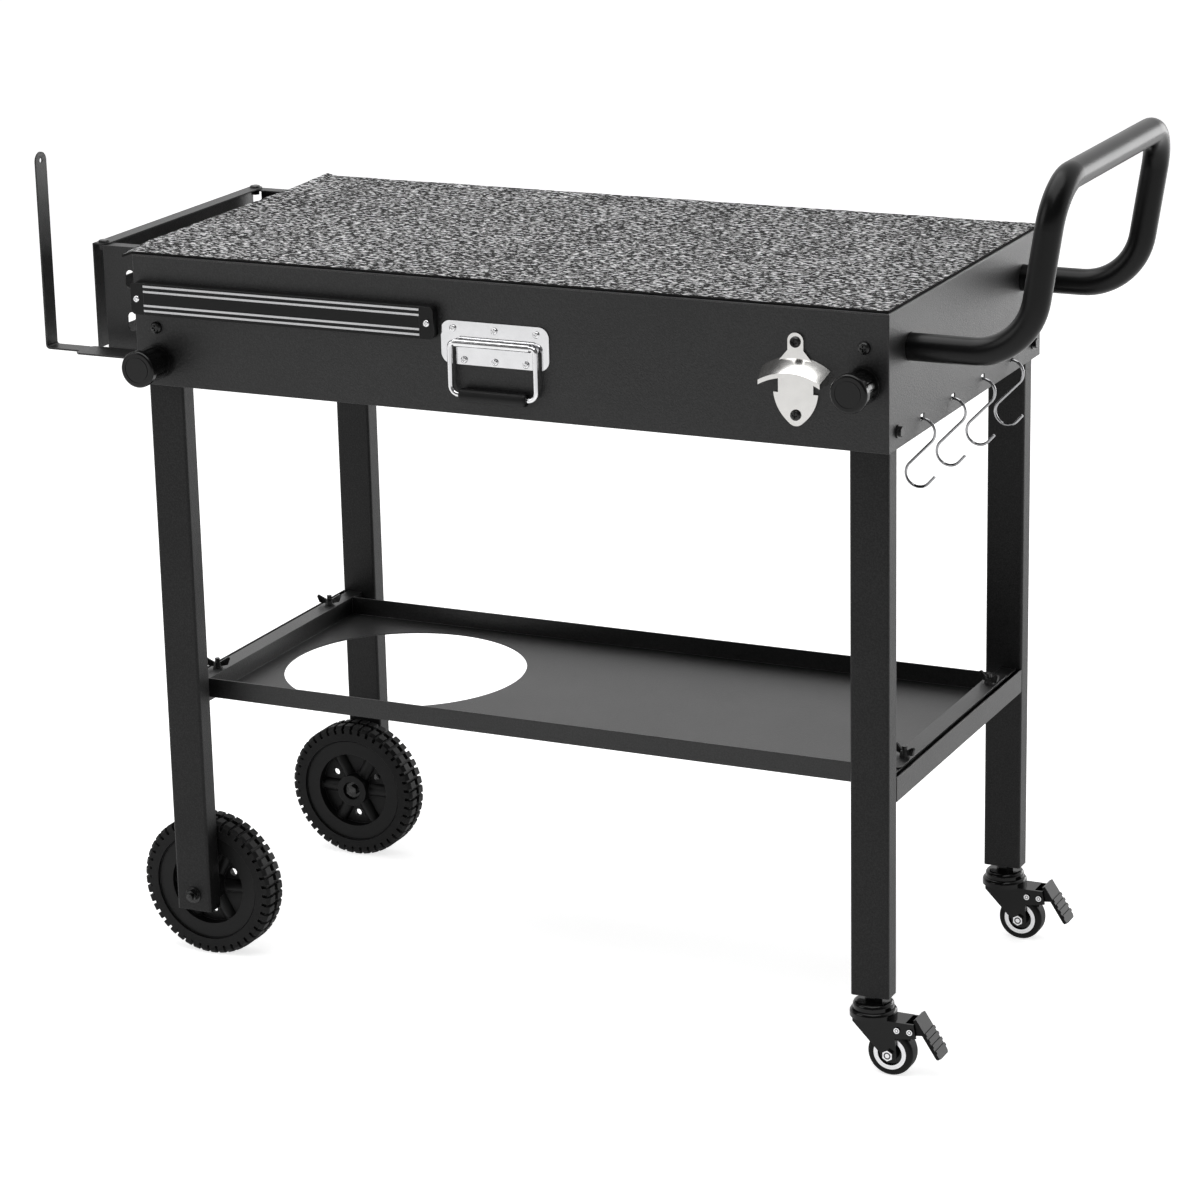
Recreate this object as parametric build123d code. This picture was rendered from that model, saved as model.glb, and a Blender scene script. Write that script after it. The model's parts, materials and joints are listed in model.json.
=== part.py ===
from build123d import *
import os
from math import acos, atan2, cos, degrees, hypot, pi, sin

# A folding outdoor grill cart: a sheet steel table box on four tube legs, with two big
# wheels at the left, two braked casters at the right, a shelf tray for a gas bottle and
# the accessories that hang on the box.
# Working frame, in millimetres: X from the table's left end, Y from its front face,
# Z up from the floor. The finished pieces are shifted so that the origin lies under the
# middle of the whole cart.

# Table box
TABLE_LENGTH = 915.0
TABLE_WIDTH = 486.0
TABLE_HEIGHT = 862.0
APRON = 150.0
SHEET = 1.5
BEND = 1.4
TOP_FLANGE = 18.0
LOW_FLANGE = 8.0

# Felt mat
FELT = 3.0
FELT_OVERHANG = 14.0
FELT_MARGIN = 2.0

# Legs
LEG_X = 45.0
LEG_Y = 25.0
LEG_WALL = 1.5
LEG_CORNER = 3.0
LEG_INSET_X = 5.0
LEG_INSET_Y = 13.2
LEFT_FOOT = 66.5
RIGHT_FOOT = 90.5
LEFT_PIVOT_DROP = 83.0
RIGHT_PIVOT_DROP = 38.0
LOCK_DROP = 39.0

# Leg brackets
BRACKET = 2.0
BRACKET_REACH = 58.0
END_BOLT_DROP = 131.0

# Clearances
SLIP = 0.3
RUN = 0.05
HOLE = 0.1

# Fasteners: shank diameters, head sizes
M8 = 8.0
M6 = 6.0
M4 = 4.0
DOME_8 = 14.0
DOME_8_HIGH = 4.5
HEX_8 = 13.0
HEX_8_HIGH = 7.0
THIN_8_HIGH = 4.0
BOLT_END = 3.0
NUT_FLANGE_8 = 20.0
NUT_FLANGE_HIGH = 1.6
HEX_6 = 10.0
HEX_6_HIGH = 5.5
HEX_FLANGE_6 = 14.5
HEX_FLANGE_HIGH = 1.5
NUT_6_HIGH = 5.0
PAN_4 = 8.0
PAN_4_HIGH = 2.4
PAN_OPENER = 12.0
PAN_OPENER_HIGH = 3.6
SCREW_BEHIND = 6.0
RECESS_SPAN = 0.5
RECESS_WIDE = 0.13
RECESS_DEEP = 0.45

# Lock plungers
KNOB_FACE = 42.0
KNOB_BODY = 35.0
KNOB_BACK = 40.0
KNOB_FRONT = 47.0
KNOB_FACE_THICK = 9.0
KNOB_BACK_THICK = 6.0
KNOB_STANDOFF = 5.0
KNOB_FLUTES = 12
KNOB_FLUTE = 4.0
KNOB_RING = 30.0
KNOB_RING_WIDE = 1.2
KNOB_RING_DEEP = 0.6
BARREL = 16.0
BARREL_COLLAR = 22.0
BARREL_COLLAR_THICK = 4.0
BARREL_OUT = 16.0
BARREL_CAP = 4.0
CHAMBER = 12.4
PIN = 8.0
PIN_SEAT = 11.6
PIN_SEAT_THICK = 2.5
PIN_NOSE = 3.5
PIN_IN_KNOB = 18.0
SPRING_WIRE = 1.2

# Cross members and shelf tray
CROSS_TOP = 340.0
CROSS_HIGH = 27.4
CROSS_WIDE = 26.0
CROSS_LIP = 19.0
TRAY_INSET_Y = 65.0
TRAY_DEEP = 23.0
TRAY_FLANGE = 21.0
TANK_HOLE = 292.0
TANK_HOLE_X = 201.0
SHELF_BOLT_INSET = 105.0
SHELF_BOLT_TALL = 12.0
CARRIAGE_HEAD = 12.0
CARRIAGE_HIGH = 3.0
WING_SPAN = 30.0
WING_HIGH = 13.0
WING_HUB = 12.0
WING_HUB_HIGH = 7.0
WING_THICK = 2.6

# Big wheels
WHEEL = 172.0
WHEEL_WIDE = 36.0
WHEEL_GAP = 5.0
RIM = 130.0
RIM_RING = 96.0
RIM_WIDE = 30.0
WHEEL_LUGS = 44
LUG_GAP_SHARE = 0.34
LUG_DEEP = 5.0
LUG_ROOT = 152.0
TREAD_GROOVE = 7.0
SHOULDER = 4.0
SIDE_RING = 134.0
SIDE_RING_DEEP = 4.0
HUB = 40.0
HUB_RECESS = 6.0
HUB_RECESS_BORE = 24.0
SPOKES = 6
SPOKE = 18.0
WEB = 5.0
WEB_HOLE = 9.0

# Casters
CASTER_TRAIL = 23.0
CASTER_WHEEL = 53.0
CASTER_TYRE_WIDE = 21.0
CASTER_CORE = 38.0
CASTER_DISH = 28.0
CASTER_DISH_DEEP = 3.0
CASTER_AXLE = 8.0
CASTER_NUT = 11.0
CASTER_NUT_HIGH = 4.0
CASTER_CHEEK = 2.5
CASTER_GAP = 1.5
STEM = 10.0
STEM_INSERT = 30.0
STEM_NUT = 18.0
STEM_NUT_HIGH = 7.0
UPPER_RACE = 46.0
UPPER_RACE_HIGH = 8.0
LOWER_RACE = 53.0
LOWER_RACE_HIGH = 9.0
CROWN_THICK = 3.0
CHEEK_BACK = 19.5
CHEEK_LOBE = 9.5
RIVET = 7.0
RIVET_HIGH = 1.6
RIVET_NEAR = 33.0
RIVET_PITCH = 15.0
RIVET_Z = 57.0
CROWN_REACH = 42.0
CHEEK_REACH = 52.0
PEDAL_WIDE = 28.0
PEDAL_THICK = 4.0
PEDAL_TOP_X = 55.0
PEDAL_TOP_Z = 73.0
PEDAL_LONG = 52.0
PEDAL_SLOPE = 57.0
PEDAL_RIBS = 4
PEDAL_RIB = 1.4
PEDAL_HUB = 10.0
BRAKE_TURN = 20.0
BRAKE_SHOE = 6.0

# Push handle
TUBE = 30.0
TUBE_WALL = 2.0
HANDLE_INSET_Y = 62.0
HANDLE_DROP = 47.5
HANDLE_REACH = 130.0
HANDLE_RISE = 136.0
HANDLE_LEAN = 29.0
HANDLE_BEND = 70.0
HANDLE_CORNER = 48.0
HANDLE_INSIDE = 40.0
SLEEVE_WALL = 2.0
SLEEVE_FLANGE = 4.0

# Knife bar
BAR_X = 3.0
BAR_LONG = 385.0
BAR_TALL = 36.5
BAR_THICK = 12.0
BAR_DROP = 30.0
BAR_CAP = 17.0
BAR_CORNER = 6.0
BAR_SCREW = 8.0
STRIP_TALL = 2.4
STRIP_DEEP = 2.0
STRIP_PROUD = 0.6
STRIP_DROPS = (3.5, 9.5, 25.5, 31.5)

# Chest handle
PLATE_GAP = 4.0
PLATE_LONG = 131.0
PLATE_TALL = 48.5
PLATE_DROP = 45.0
PLATE_THICK = 1.6
PLATE_CORNER = 12.0
BARREL_DROP = 23.0
KNUCKLE = 9.0
KNUCKLE_INSET = 20.0
BAIL_ROD = 6.0
BAIL_INSET = 13.5
BAIL_TALL = 58.0
BAIL_CORNER = 10.0
BAIL_STANDOFF = 0.5
BAIL_TURN = 5.0
BAIL_TAIL = 17.0
BAIL_NOTCH = 9.0
GRIP = 15.0
GRIP_LONG = 82.0
PLATE_SCREW_TOP = 8.5
PLATE_SCREW_LOW = 43.0
PLATE_SCREWS_TOP = (15.0, 65.5, 116.0)
PLATE_SCREWS_LOW = (28.0, 65.5, 103.0)

# Bottle opener
OPENER_BESIDE_LOCK = 76.5
OPENER_DROP = 27.0
OPENER_TALL = 101.0
OPENER_TAB = 18.0
OPENER_SHIELD = 51.0
OPENER_NECK = 40.0
OPENER_PLATE = 2.5
OPENER_FLARE = 19.0
OPENER_NECK_TOP = 32.0
OPENER_HOOD = 77.0
OPENER_HOOD_WALL = 2.5
OPENER_SHOULDER = 39.0
OPENER_CROWN = 13.0
OPENER_RIM = 70.0
OPENER_RIM_OUT = 22.0
OPENER_RIM_LOW = 54.0
OPENER_RIM_TALL = 5.0
OPENER_ARCH = 9.5
OPENER_SCREW_TOP = 10.0
OPENER_SCREW_LOW = 89.0
SHIELD_FULL = 65.5
SHIELD_SIDE = (19.5, 84.0)
SHIELD_TOE = (8.0, 97.4)

# S-hooks
HOOKS = 4
HOOK_PITCH = 95.5
HOOK_DROP = 134.5
HOOK_WIRE = 3.2
HOOK_RADIUS = 15.0
HOOK_LONG = 46.0
HOOK_LEAN = 3.0
HOOK_START = 175.0
HOOK_END = 318.0
HOOK_TIP = 10.0
SLOT_WIDE = 11.0
SLOT_TALL = 7.0

# Bag frame at the left end
BAG_INSET_Y = 59.0
BAG_REACH = 88.0
BAG_DROP = 4.5
BAG_TALL = 124.5
BAG_FLANGE = 17.0
BAG_ARM_FLANGE = 16.0
BAG_TONGUE = 14.0
BAG_PIVOT_Y = 9.0
BAG_PIVOT_OUT = 8.5
BAG_PIVOT_IN = 9.5
BAG_ARM_OUT = 12.5
BAG_ARM_IN = 22.0
BAG_SLOT_WIDE = 12.0
BAG_SLOT_TALL = 22.0
BAG_SLOT_X = 41.0
BAG_SLOT_DROPS = (44.5, 94.0)
BAG_OPEN_PLAY = 0.4
BAG_HEAD = 13.0
BAG_HEAD_HIGH = 2.6
BAG_WINDOW_Y = 74.5
BAG_WINDOW_WIDE = 26.0
BAG_WINDOW_TALL = 22.0
BAG_WINDOW_CORNER = 6.0
BAG_WINDOW_DROPS = (45.0, 102.0)

# Paper towel bar
TOWEL_THICK = 2.0
TOWEL_REACH = 130.0
TOWEL_WIDE = 22.0
TOWEL_Y = 14.0
TOWEL_FOOT_WIDE = 37.0
TOWEL_FOOT_Y = 2.0
TOWEL_FOOT_LONG = 86.0
TOWEL_DROP = 121.5
TOWEL_RISE = 105.0
TOWEL_TAB = 24.0
TOWEL_HOLE = 6.0
TOWEL_HOLE_DROP = 10.0
TOWEL_BEND = 5.0

# Levels and places worked out from the sizes above
TOP = TABLE_HEIGHT
UNDER = TOP - SHEET
LOW = TOP - APRON
LEG_FRONT = LEG_INSET_Y
LEG_BACK = LEG_INSET_Y + LEG_Y
LEG_MID_X = LEG_INSET_X + LEG_X / 2
LEG_MID_Y = LEG_INSET_Y + LEG_Y / 2
LEFT_PIVOT = TOP - LEFT_PIVOT_DROP
RIGHT_PIVOT = TOP - RIGHT_PIVOT_DROP
LEFT_LOCK = LEFT_PIVOT - LOCK_DROP
RIGHT_LOCK = RIGHT_PIVOT - LOCK_DROP
BRACKET_FRONT = LEG_FRONT - SLIP - BRACKET
BRACKET_BACK = LEG_BACK + SLIP + BRACKET
END_BOLT_Z = TOP - END_BOLT_DROP
AXLE_Z = WHEEL / 2
HANDLE_Z = TOP - HANDLE_DROP
HANDLE_TOP_X = TABLE_LENGTH + HANDLE_REACH + HANDLE_LEAN
HANDLE_TOP_Z = TOP + HANDLE_RISE
CASTER_X = TABLE_LENGTH - LEG_MID_X
CART_LEFT = -TOWEL_REACH - TOWEL_THICK
CART_RIGHT = HANDLE_TOP_X + TUBE / 2
CART_FRONT = -KNOB_FRONT
CART_BACK = TABLE_WIDTH + DOME_8_HIGH
ORIGIN = Pos(-(CART_LEFT + CART_RIGHT) / 2, -(CART_FRONT + CART_BACK) / 2, 0)
MID_X = Plane(origin=(TABLE_LENGTH / 2, 0, 0), z_dir=(1, 0, 0))
MID_Y = Plane(origin=(0, TABLE_WIDTH / 2, 0), z_dir=(0, 1, 0))

PIECES = {}


def keep(name, *solids):
    """Name a piece, or a group of like pieces."""
    PIECES[name] = solids[0] if len(solids) == 1 else Compound(list(solids))


def block(x, y, z):
    """A box between two limits on each axis."""
    size = Box(x[1] - x[0], y[1] - y[0], z[1] - z[0])
    return Pos((x[0] + x[1]) / 2, (y[0] + y[1]) / 2, (z[0] + z[1]) / 2) * size


def rod_x(x, y, z, diameter):
    """A round bar along X between two limits."""
    return Pos((x[0] + x[1]) / 2, y, z) * Rot(0, 90, 0) * Cylinder(diameter / 2, x[1] - x[0])


def rod_y(x, y, z, diameter):
    """A round bar along Y between two limits."""
    return Pos(x, (y[0] + y[1]) / 2, z) * Rot(90, 0, 0) * Cylinder(diameter / 2, y[1] - y[0])


def rod_z(x, y, z, diameter):
    """A round bar along Z between two limits."""
    return Pos(x, y, (z[0] + z[1]) / 2) * Cylinder(diameter / 2, z[1] - z[0])


def facing(at, direction, solid):
    """Put a solid that stands on the XY plane at a point, standing along a direction."""
    return Plane(origin=at, z_dir=direction).location * solid


def standing(height, profile):
    """Extrude a flat profile upwards from the XY plane."""
    return extrude(profile, amount=height)


def dome_bolt(shank, head, high, long, recess=True):
    """A bolt with a low dome head above the XY plane, mostly cross-recessed, and its shank below."""
    cap = Pos(0, 0, high / 2) * Cylinder(head / 2, high)
    cap = fillet(cap.edges().group_by(Axis.Z)[-1], high * 0.8)
    if recess:
        wing = Pos(0, 0, high * (1 - RECESS_DEEP / 2)) * Box(head * RECESS_SPAN, head * RECESS_WIDE,
                                                             high * RECESS_DEEP)
        cap -= wing + Rot(0, 0, 90) * wing
    return cap + Pos(0, 0, -long / 2) * Cylinder(shank / 2, long)


def hexagon(across, high):
    """A hexagonal prism standing on the XY plane."""
    return standing(high, RegularPolygon(across / 2, 6, major_radius=False))


def hex_bolt(shank, across, high, flange, long):
    """A hex bolt with a washer flange, its head above the XY plane."""
    head = hexagon(across, high) + Pos(0, 0, HEX_FLANGE_HIGH / 2) * Cylinder(flange / 2, HEX_FLANGE_HIGH)
    return head + Pos(0, 0, -long / 2) * Cylinder(shank / 2, long)


def flange_nut():
    """A hex lock nut with a washer flange, standing on the XY plane."""
    flange = Pos(0, 0, NUT_FLANGE_HIGH / 2) * Cylinder(NUT_FLANGE_8 / 2, NUT_FLANGE_HIGH)
    nut = hexagon(HEX_8, HEX_8_HIGH) + flange
    return nut - Pos(0, 0, HEX_8_HIGH / 2) * Cylinder(M8 / 2 + HOLE, HEX_8_HIGH)


def thin_nut():
    """A thin hex nut standing on the XY plane."""
    return hexagon(HEX_8, THIN_8_HIGH) - Pos(0, 0, THIN_8_HIGH / 2) * Cylinder(M8 / 2 + HOLE, THIN_8_HIGH)


def both_ends(solid):
    """A piece at the left end and its mirror image at the right end."""
    return [solid, solid.mirror(MID_X)]


def both_sides(solid):
    """A piece at the front and its mirror image at the back."""
    return [solid, solid.mirror(MID_Y)]


# Accessory screw places on the front panel, as (x, z)
BAR_TOP = TOP - BAR_DROP
BAR_MID = BAR_TOP - BAR_TALL / 2
BAR_SCREWS = [(BAR_X + BAR_SCREW, BAR_MID), (BAR_X + BAR_LONG - BAR_SCREW, BAR_MID)]
PLATE_X = BAR_X + BAR_LONG + PLATE_GAP
PLATE_TOP = TOP - PLATE_DROP
PLATE_SCREWS = [(PLATE_X + x, PLATE_TOP - PLATE_SCREW_TOP) for x in PLATE_SCREWS_TOP]
PLATE_SCREWS += [(PLATE_X + x, PLATE_TOP - PLATE_SCREW_LOW) for x in PLATE_SCREWS_LOW]
OPENER_X = TABLE_LENGTH - LEG_MID_X - OPENER_BESIDE_LOCK
OPENER_TOP = TOP - OPENER_DROP
OPENER_SCREWS = [(OPENER_X, OPENER_TOP - OPENER_SCREW_TOP), (OPENER_X, OPENER_TOP - OPENER_SCREW_LOW)]
PIVOTS = [(LEG_MID_X, LEFT_PIVOT), (TABLE_LENGTH - LEG_MID_X, RIGHT_PIVOT)]
LOCKS = [(LEG_MID_X, LEFT_LOCK), (TABLE_LENGTH - LEG_MID_X, RIGHT_LOCK)]
HOOK_YS = [TABLE_WIDTH / 2 + HOOK_PITCH * (i - (HOOKS - 1) / 2) for i in range(HOOKS)]
HOOK_Z = TOP - HOOK_DROP
HANDLE_YS = (HANDLE_INSET_Y, TABLE_WIDTH - HANDLE_INSET_Y)
BAG_PIVOT = BAG_INSET_Y + BAG_PIVOT_Y
BAG_PIVOTS = (BAG_PIVOT, TABLE_WIDTH - BAG_PIVOT)
BAG_OUT_X = -BAG_REACH + BAG_PIVOT_OUT
BAG_IN_X = -BAG_PIVOT_IN
BAG_TOP = TOP - BAG_DROP
BAG_ARM_TOP = BAG_TOP - SHEET - SLIP
BAG_TAB_TOP = BAG_ARM_TOP - SHEET - SLIP


def long_panel():
    """The front panel: a web with an inward flange at its top and at its bottom."""
    web = block((0, TABLE_LENGTH), (0, SHEET), (LOW, UNDER))
    web = fillet(web.edges().filter_by(Axis.Z).group_by(Axis.Y)[0], BEND)
    run = (SHEET, TABLE_LENGTH - SHEET)
    top = block(run, (SHEET, TOP_FLANGE), (UNDER - SHEET, UNDER))
    low = block(run, (SHEET, SHEET + LOW_FLANGE), (LOW, LOW + SHEET))
    panel = web + top + low
    for x, z in PIVOTS:
        panel -= rod_y(x, (0, SHEET), z, M8 + 2 * HOLE)
    return panel


def end_panel():
    """The left end panel: a web between the long panels, with flanges clear of the legs."""
    web = block((0, SHEET), (SHEET, TABLE_WIDTH - SHEET), (LOW, UNDER))
    top_run = (TOP_FLANGE, TABLE_WIDTH - TOP_FLANGE)
    top = block((SHEET, TOP_FLANGE), top_run, (UNDER - SHEET, UNDER))
    low_run = (BRACKET_BACK + SLIP, TABLE_WIDTH - BRACKET_BACK - SLIP)
    low = block((SHEET, SHEET + LOW_FLANGE), low_run, (LOW, LOW + SHEET))
    panel = web + top + low
    for y in (LEG_MID_Y, TABLE_WIDTH - LEG_MID_Y):
        panel -= rod_x((0, SHEET), y, END_BOLT_Z, M6 + 2 * HOLE)
    return panel


def table_box():
    """The folded sheets of the table and the felt on them."""
    sheet = block((0, TABLE_LENGTH), (0, TABLE_WIDTH), (UNDER, TOP))
    keep("top_sheet", fillet(sheet.edges().group_by(Axis.Z)[-1], BEND))
    felt_x = (-FELT_OVERHANG, TABLE_LENGTH - FELT_MARGIN)
    felt_y = (FELT_MARGIN, TABLE_WIDTH - FELT_MARGIN)
    keep("felt_mat", block(felt_x, felt_y, (TOP, TOP + FELT)))
    front = long_panel()
    keep("back_panel", front.mirror(MID_Y))
    for x, z in BAR_SCREWS + PLATE_SCREWS + OPENER_SCREWS:
        front -= rod_y(x, (0, SHEET), z, M4 + 2 * HOLE)
    for x, z in LOCKS:
        front -= rod_y(x, (0, SHEET), z, BARREL + 2 * HOLE)
    keep("front_panel", front)
    left = end_panel()
    right = left.mirror(MID_X)
    wall = (TABLE_LENGTH - SHEET, TABLE_LENGTH)
    slot_low = HOOK_Z - HOOK_WIRE / 2 - SLIP
    for y in HOOK_YS:
        slot = block(wall, (y - SLOT_WIDE / 2, y + SLOT_WIDE / 2), (slot_low, slot_low + SLOT_TALL))
        right -= slot
    for y in HANDLE_YS:
        right -= rod_x(wall, y, HANDLE_Z, TUBE + 2 * SLIP)
    keep("right_end_panel", right)
    for y in BAG_PIVOTS:
        left += bag_tab(y)
    keep("left_end_panel", left)


def bag_tab(y):
    """A tab bent out of the left end panel, with the headed stud an arm of the bag frame turns on."""
    half = BAG_TONGUE / 2
    z = (BAG_TAB_TOP - SHEET, BAG_TAB_TOP)
    tab = block((BAG_IN_X, 0), (y - half, y + half), z) + rod_z(BAG_IN_X, y, z, BAG_TONGUE)
    head_low = BAG_ARM_TOP + SLIP
    stud = rod_z(BAG_IN_X, y, (BAG_TAB_TOP - SHEET, head_low), M6)
    head = Pos(BAG_IN_X, y, head_low) * hexagon(HEX_6, HEX_6_HIGH - SHEET)
    return tab + stud + head


def leg(pivot, foot):
    """A left front leg: rectangular tube, round at the top about its pivot."""
    x = (LEG_INSET_X, LEG_INSET_X + LEG_X)
    tube = block(x, (LEG_FRONT, LEG_BACK), (foot, pivot))
    tube = fillet(tube.edges().filter_by(Axis.Z), LEG_CORNER)
    crown = rod_y(LEG_MID_X, (LEG_FRONT, LEG_BACK), pivot, LEG_X)
    core = block((x[0] + LEG_WALL, x[1] - LEG_WALL), (LEG_FRONT + LEG_WALL, LEG_BACK - LEG_WALL),
                 (foot, pivot + LEG_X))
    tube = tube + crown - core
    return tube - rod_y(LEG_MID_X, (LEG_FRONT, LEG_BACK), pivot, M8 + 2 * HOLE)


def legs():
    """Four legs: the front ones with lock holes, the left ones with axle holes."""
    lock_wall = (LEG_FRONT, LEG_FRONT + LEG_WALL)
    left = leg(LEFT_PIVOT, LEFT_FOOT)
    left -= rod_y(LEG_MID_X, (LEG_FRONT, LEG_BACK), AXLE_Z, M8 + 2 * HOLE)
    right = leg(RIGHT_PIVOT, RIGHT_FOOT)
    keep("back_left_leg", left.mirror(MID_Y))
    keep("back_right_leg", right.mirror(MID_X).mirror(MID_Y))
    keep("front_left_leg", left - rod_y(LEG_MID_X, lock_wall, LEFT_LOCK, PIN + 2 * HOLE))
    right -= rod_y(LEG_MID_X, lock_wall, RIGHT_LOCK, PIN + 2 * HOLE)
    keep("front_right_leg", right.mirror(MID_X))


def leg_bracket(pivot, lock):
    """A channel in the table's corner: its web on the end panel, its sides round the leg."""
    z = (LOW + SHEET + SLIP, UNDER - SHEET)
    shell = block((SHEET, BRACKET_REACH), (BRACKET_FRONT, BRACKET_BACK), z)
    shell -= block((SHEET + BRACKET, BRACKET_REACH), (BRACKET_FRONT + BRACKET, BRACKET_BACK - BRACKET), z)
    collar = rod_y(LEG_MID_X, (SHEET, BRACKET_FRONT), pivot, DOME_8)
    bracket = shell + collar
    bracket -= rod_y(LEG_MID_X, (SHEET, BRACKET_BACK), pivot, M8 + 2 * HOLE)
    bracket -= rod_x((SHEET, SHEET + BRACKET), LEG_MID_Y, END_BOLT_Z, M6 + 2 * HOLE)
    if lock:
        bracket -= rod_y(LEG_MID_X, (BRACKET_FRONT, BRACKET_FRONT + BRACKET), lock, PIN + 2 * HOLE)
    return bracket


def leg_fittings():
    """Brackets, pivot bolts and end panel bolts, and the lock nuts of pivots and axles."""
    left_back = leg_bracket(LEFT_PIVOT, None).mirror(MID_Y)
    right_back = leg_bracket(RIGHT_PIVOT, None).mirror(MID_X).mirror(MID_Y)
    left = leg_bracket(LEFT_PIVOT, LEFT_LOCK)
    right = leg_bracket(RIGHT_PIVOT, RIGHT_LOCK).mirror(MID_X)
    keep("leg_brackets", left, right, left_back, right_back)
    shank = BRACKET_BACK + THIN_8_HIGH
    bolts = []
    nuts = []
    for x, z in PIVOTS:
        bolts += both_sides(facing((x, 0, z), (0, -1, 0), dome_bolt(M8, DOME_8, DOME_8_HIGH, shank)))
        nuts += both_sides(facing((x, BRACKET_BACK, z), (0, 1, 0), thin_nut()))
    keep("leg_pivot_bolts", *bolts)
    nuts += both_sides(facing((LEG_MID_X, LEG_FRONT, AXLE_Z), (0, -1, 0), flange_nut()))
    keep("lock_nuts", *nuts)
    grip = SHEET + BRACKET
    plain = hex_bolt(M6, HEX_6, HEX_6_HIGH, HEX_FLANGE_6, grip)
    long = hex_bolt(M6, HEX_6, HEX_6_HIGH, HEX_FLANGE_6, grip + TOWEL_THICK)
    right_bolt = facing((TABLE_LENGTH, LEG_MID_Y, END_BOLT_Z), (1, 0, 0), plain)
    left_front = facing((-TOWEL_THICK, LEG_MID_Y, END_BOLT_Z), (-1, 0, 0), long)
    left_back = facing((0, TABLE_WIDTH - LEG_MID_Y, END_BOLT_Z), (-1, 0, 0), plain)
    keep("end_panel_bolts", left_front, left_back, *both_sides(right_bolt))


def lock_knob():
    """A pull knob along +Z from the panel: back disc, fluted grip and domed face."""
    long = KNOB_FRONT - KNOB_STANDOFF
    grip_low = KNOB_BACK_THICK
    grip_high = long - KNOB_FACE_THICK
    back = Pos(0, 0, KNOB_BACK_THICK / 2) * Cylinder(KNOB_BACK / 2, KNOB_BACK_THICK)
    flutes = PolarLocations(KNOB_BODY / 2 + KNOB_FLUTE / 4, KNOB_FLUTES) * Circle(KNOB_FLUTE / 2)
    grip = Pos(0, 0, grip_low) * standing(grip_high - grip_low, Circle(KNOB_BODY / 2) - flutes)
    face = Pos(0, 0, grip_high + KNOB_FACE_THICK / 2) * Cylinder(KNOB_FACE / 2, KNOB_FACE_THICK)
    face = fillet(face.edges().group_by(Axis.Z)[-1], KNOB_FACE_THICK / 3)
    ring = Cylinder(KNOB_RING / 2, KNOB_RING_DEEP) - Cylinder(KNOB_RING / 2 - KNOB_RING_WIDE, KNOB_RING_DEEP)
    face -= Pos(0, 0, long - KNOB_RING_DEEP / 2) * ring
    socket_deep = BARREL_OUT - KNOB_STANDOFF + SLIP
    socket = Pos(0, 0, socket_deep / 2) * Cylinder(BARREL / 2 + SLIP, socket_deep)
    pin_deep = socket_deep + PIN_IN_KNOB + SLIP
    bore = Pos(0, 0, pin_deep / 2) * Cylinder(PIN / 2 + RUN, pin_deep)
    return back + grip + face - socket - bore


def lock_barrel(x, z):
    """A plunger's barrel: collar on the panel, spring chamber open towards the leg bracket."""
    barrel = rod_y(x, (-BARREL_OUT, BRACKET_FRONT), z, BARREL)
    collar = rod_y(x, (-BARREL_COLLAR_THICK, 0), z, BARREL_COLLAR)
    chamber = rod_y(x, (BARREL_CAP - BARREL_OUT, BRACKET_FRONT), z, CHAMBER)
    return barrel + collar - chamber - rod_y(x, (-BARREL_OUT, BRACKET_FRONT), z, PIN + 2 * RUN)


def lock_plungers():
    """The two leg locks: barrels on the front panel, sprung pins and their knobs."""
    tip = LEG_FRONT + LEG_WALL + PIN_NOSE
    seat_back = BRACKET_FRONT - SLIP
    seat = (seat_back - PIN_SEAT_THICK, seat_back)
    spring_run = (BARREL_CAP - BARREL_OUT, seat[0])
    mean = (PIN + CHAMBER) / 2
    keep("lock_barrels", *[lock_barrel(x, z) for x, z in LOCKS])
    for name, (x, z) in zip(("left", "right"), LOCKS):
        pin = rod_y(x, (-BARREL_OUT - PIN_IN_KNOB, tip), z, PIN)
        pin = chamfer(pin.edges().group_by(Axis.Y)[-1], PIN_NOSE / 2)
        keep(name + "_lock_pin", pin + rod_y(x, seat, z, PIN_SEAT))
        spring = rod_y(x, spring_run, z, mean + SPRING_WIRE) - rod_y(x, spring_run, z, mean - SPRING_WIRE)
        keep(name + "_lock_spring", spring)
        keep(name + "_lock_knob", facing((x, -KNOB_STANDOFF, z), (0, -1, 0), lock_knob()))


def cross_member():
    """The left cross member: a lipped channel between the legs, its open slot outboard."""
    x0 = LEG_INSET_X
    x1 = LEG_INSET_X + CROSS_WIDE
    y = (LEG_BACK, TABLE_WIDTH - LEG_BACK)
    z0 = CROSS_TOP - CROSS_HIGH
    outer = block((x0, x0 + SHEET), y, (z0, CROSS_TOP))
    floor = block((x0, x1), y, (z0, z0 + SHEET))
    inner = block((x1 - SHEET, x1), y, (z0, CROSS_TOP))
    lip = block((x1 - CROSS_LIP, x1), y, (CROSS_TOP - SHEET, CROSS_TOP))
    member = outer + floor + inner + lip
    for by in SHELF_BOLT_YS:
        member -= rod_z(SHELF_BOLT_X, by, (CROSS_TOP - SHEET, CROSS_TOP), M6 + 2 * HOLE)
    return member


SHELF_BOLT_X = LEG_INSET_X + CROSS_WIDE - CROSS_LIP / 2
SHELF_BOLT_YS = (SHELF_BOLT_INSET, TABLE_WIDTH - SHELF_BOLT_INSET)


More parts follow.
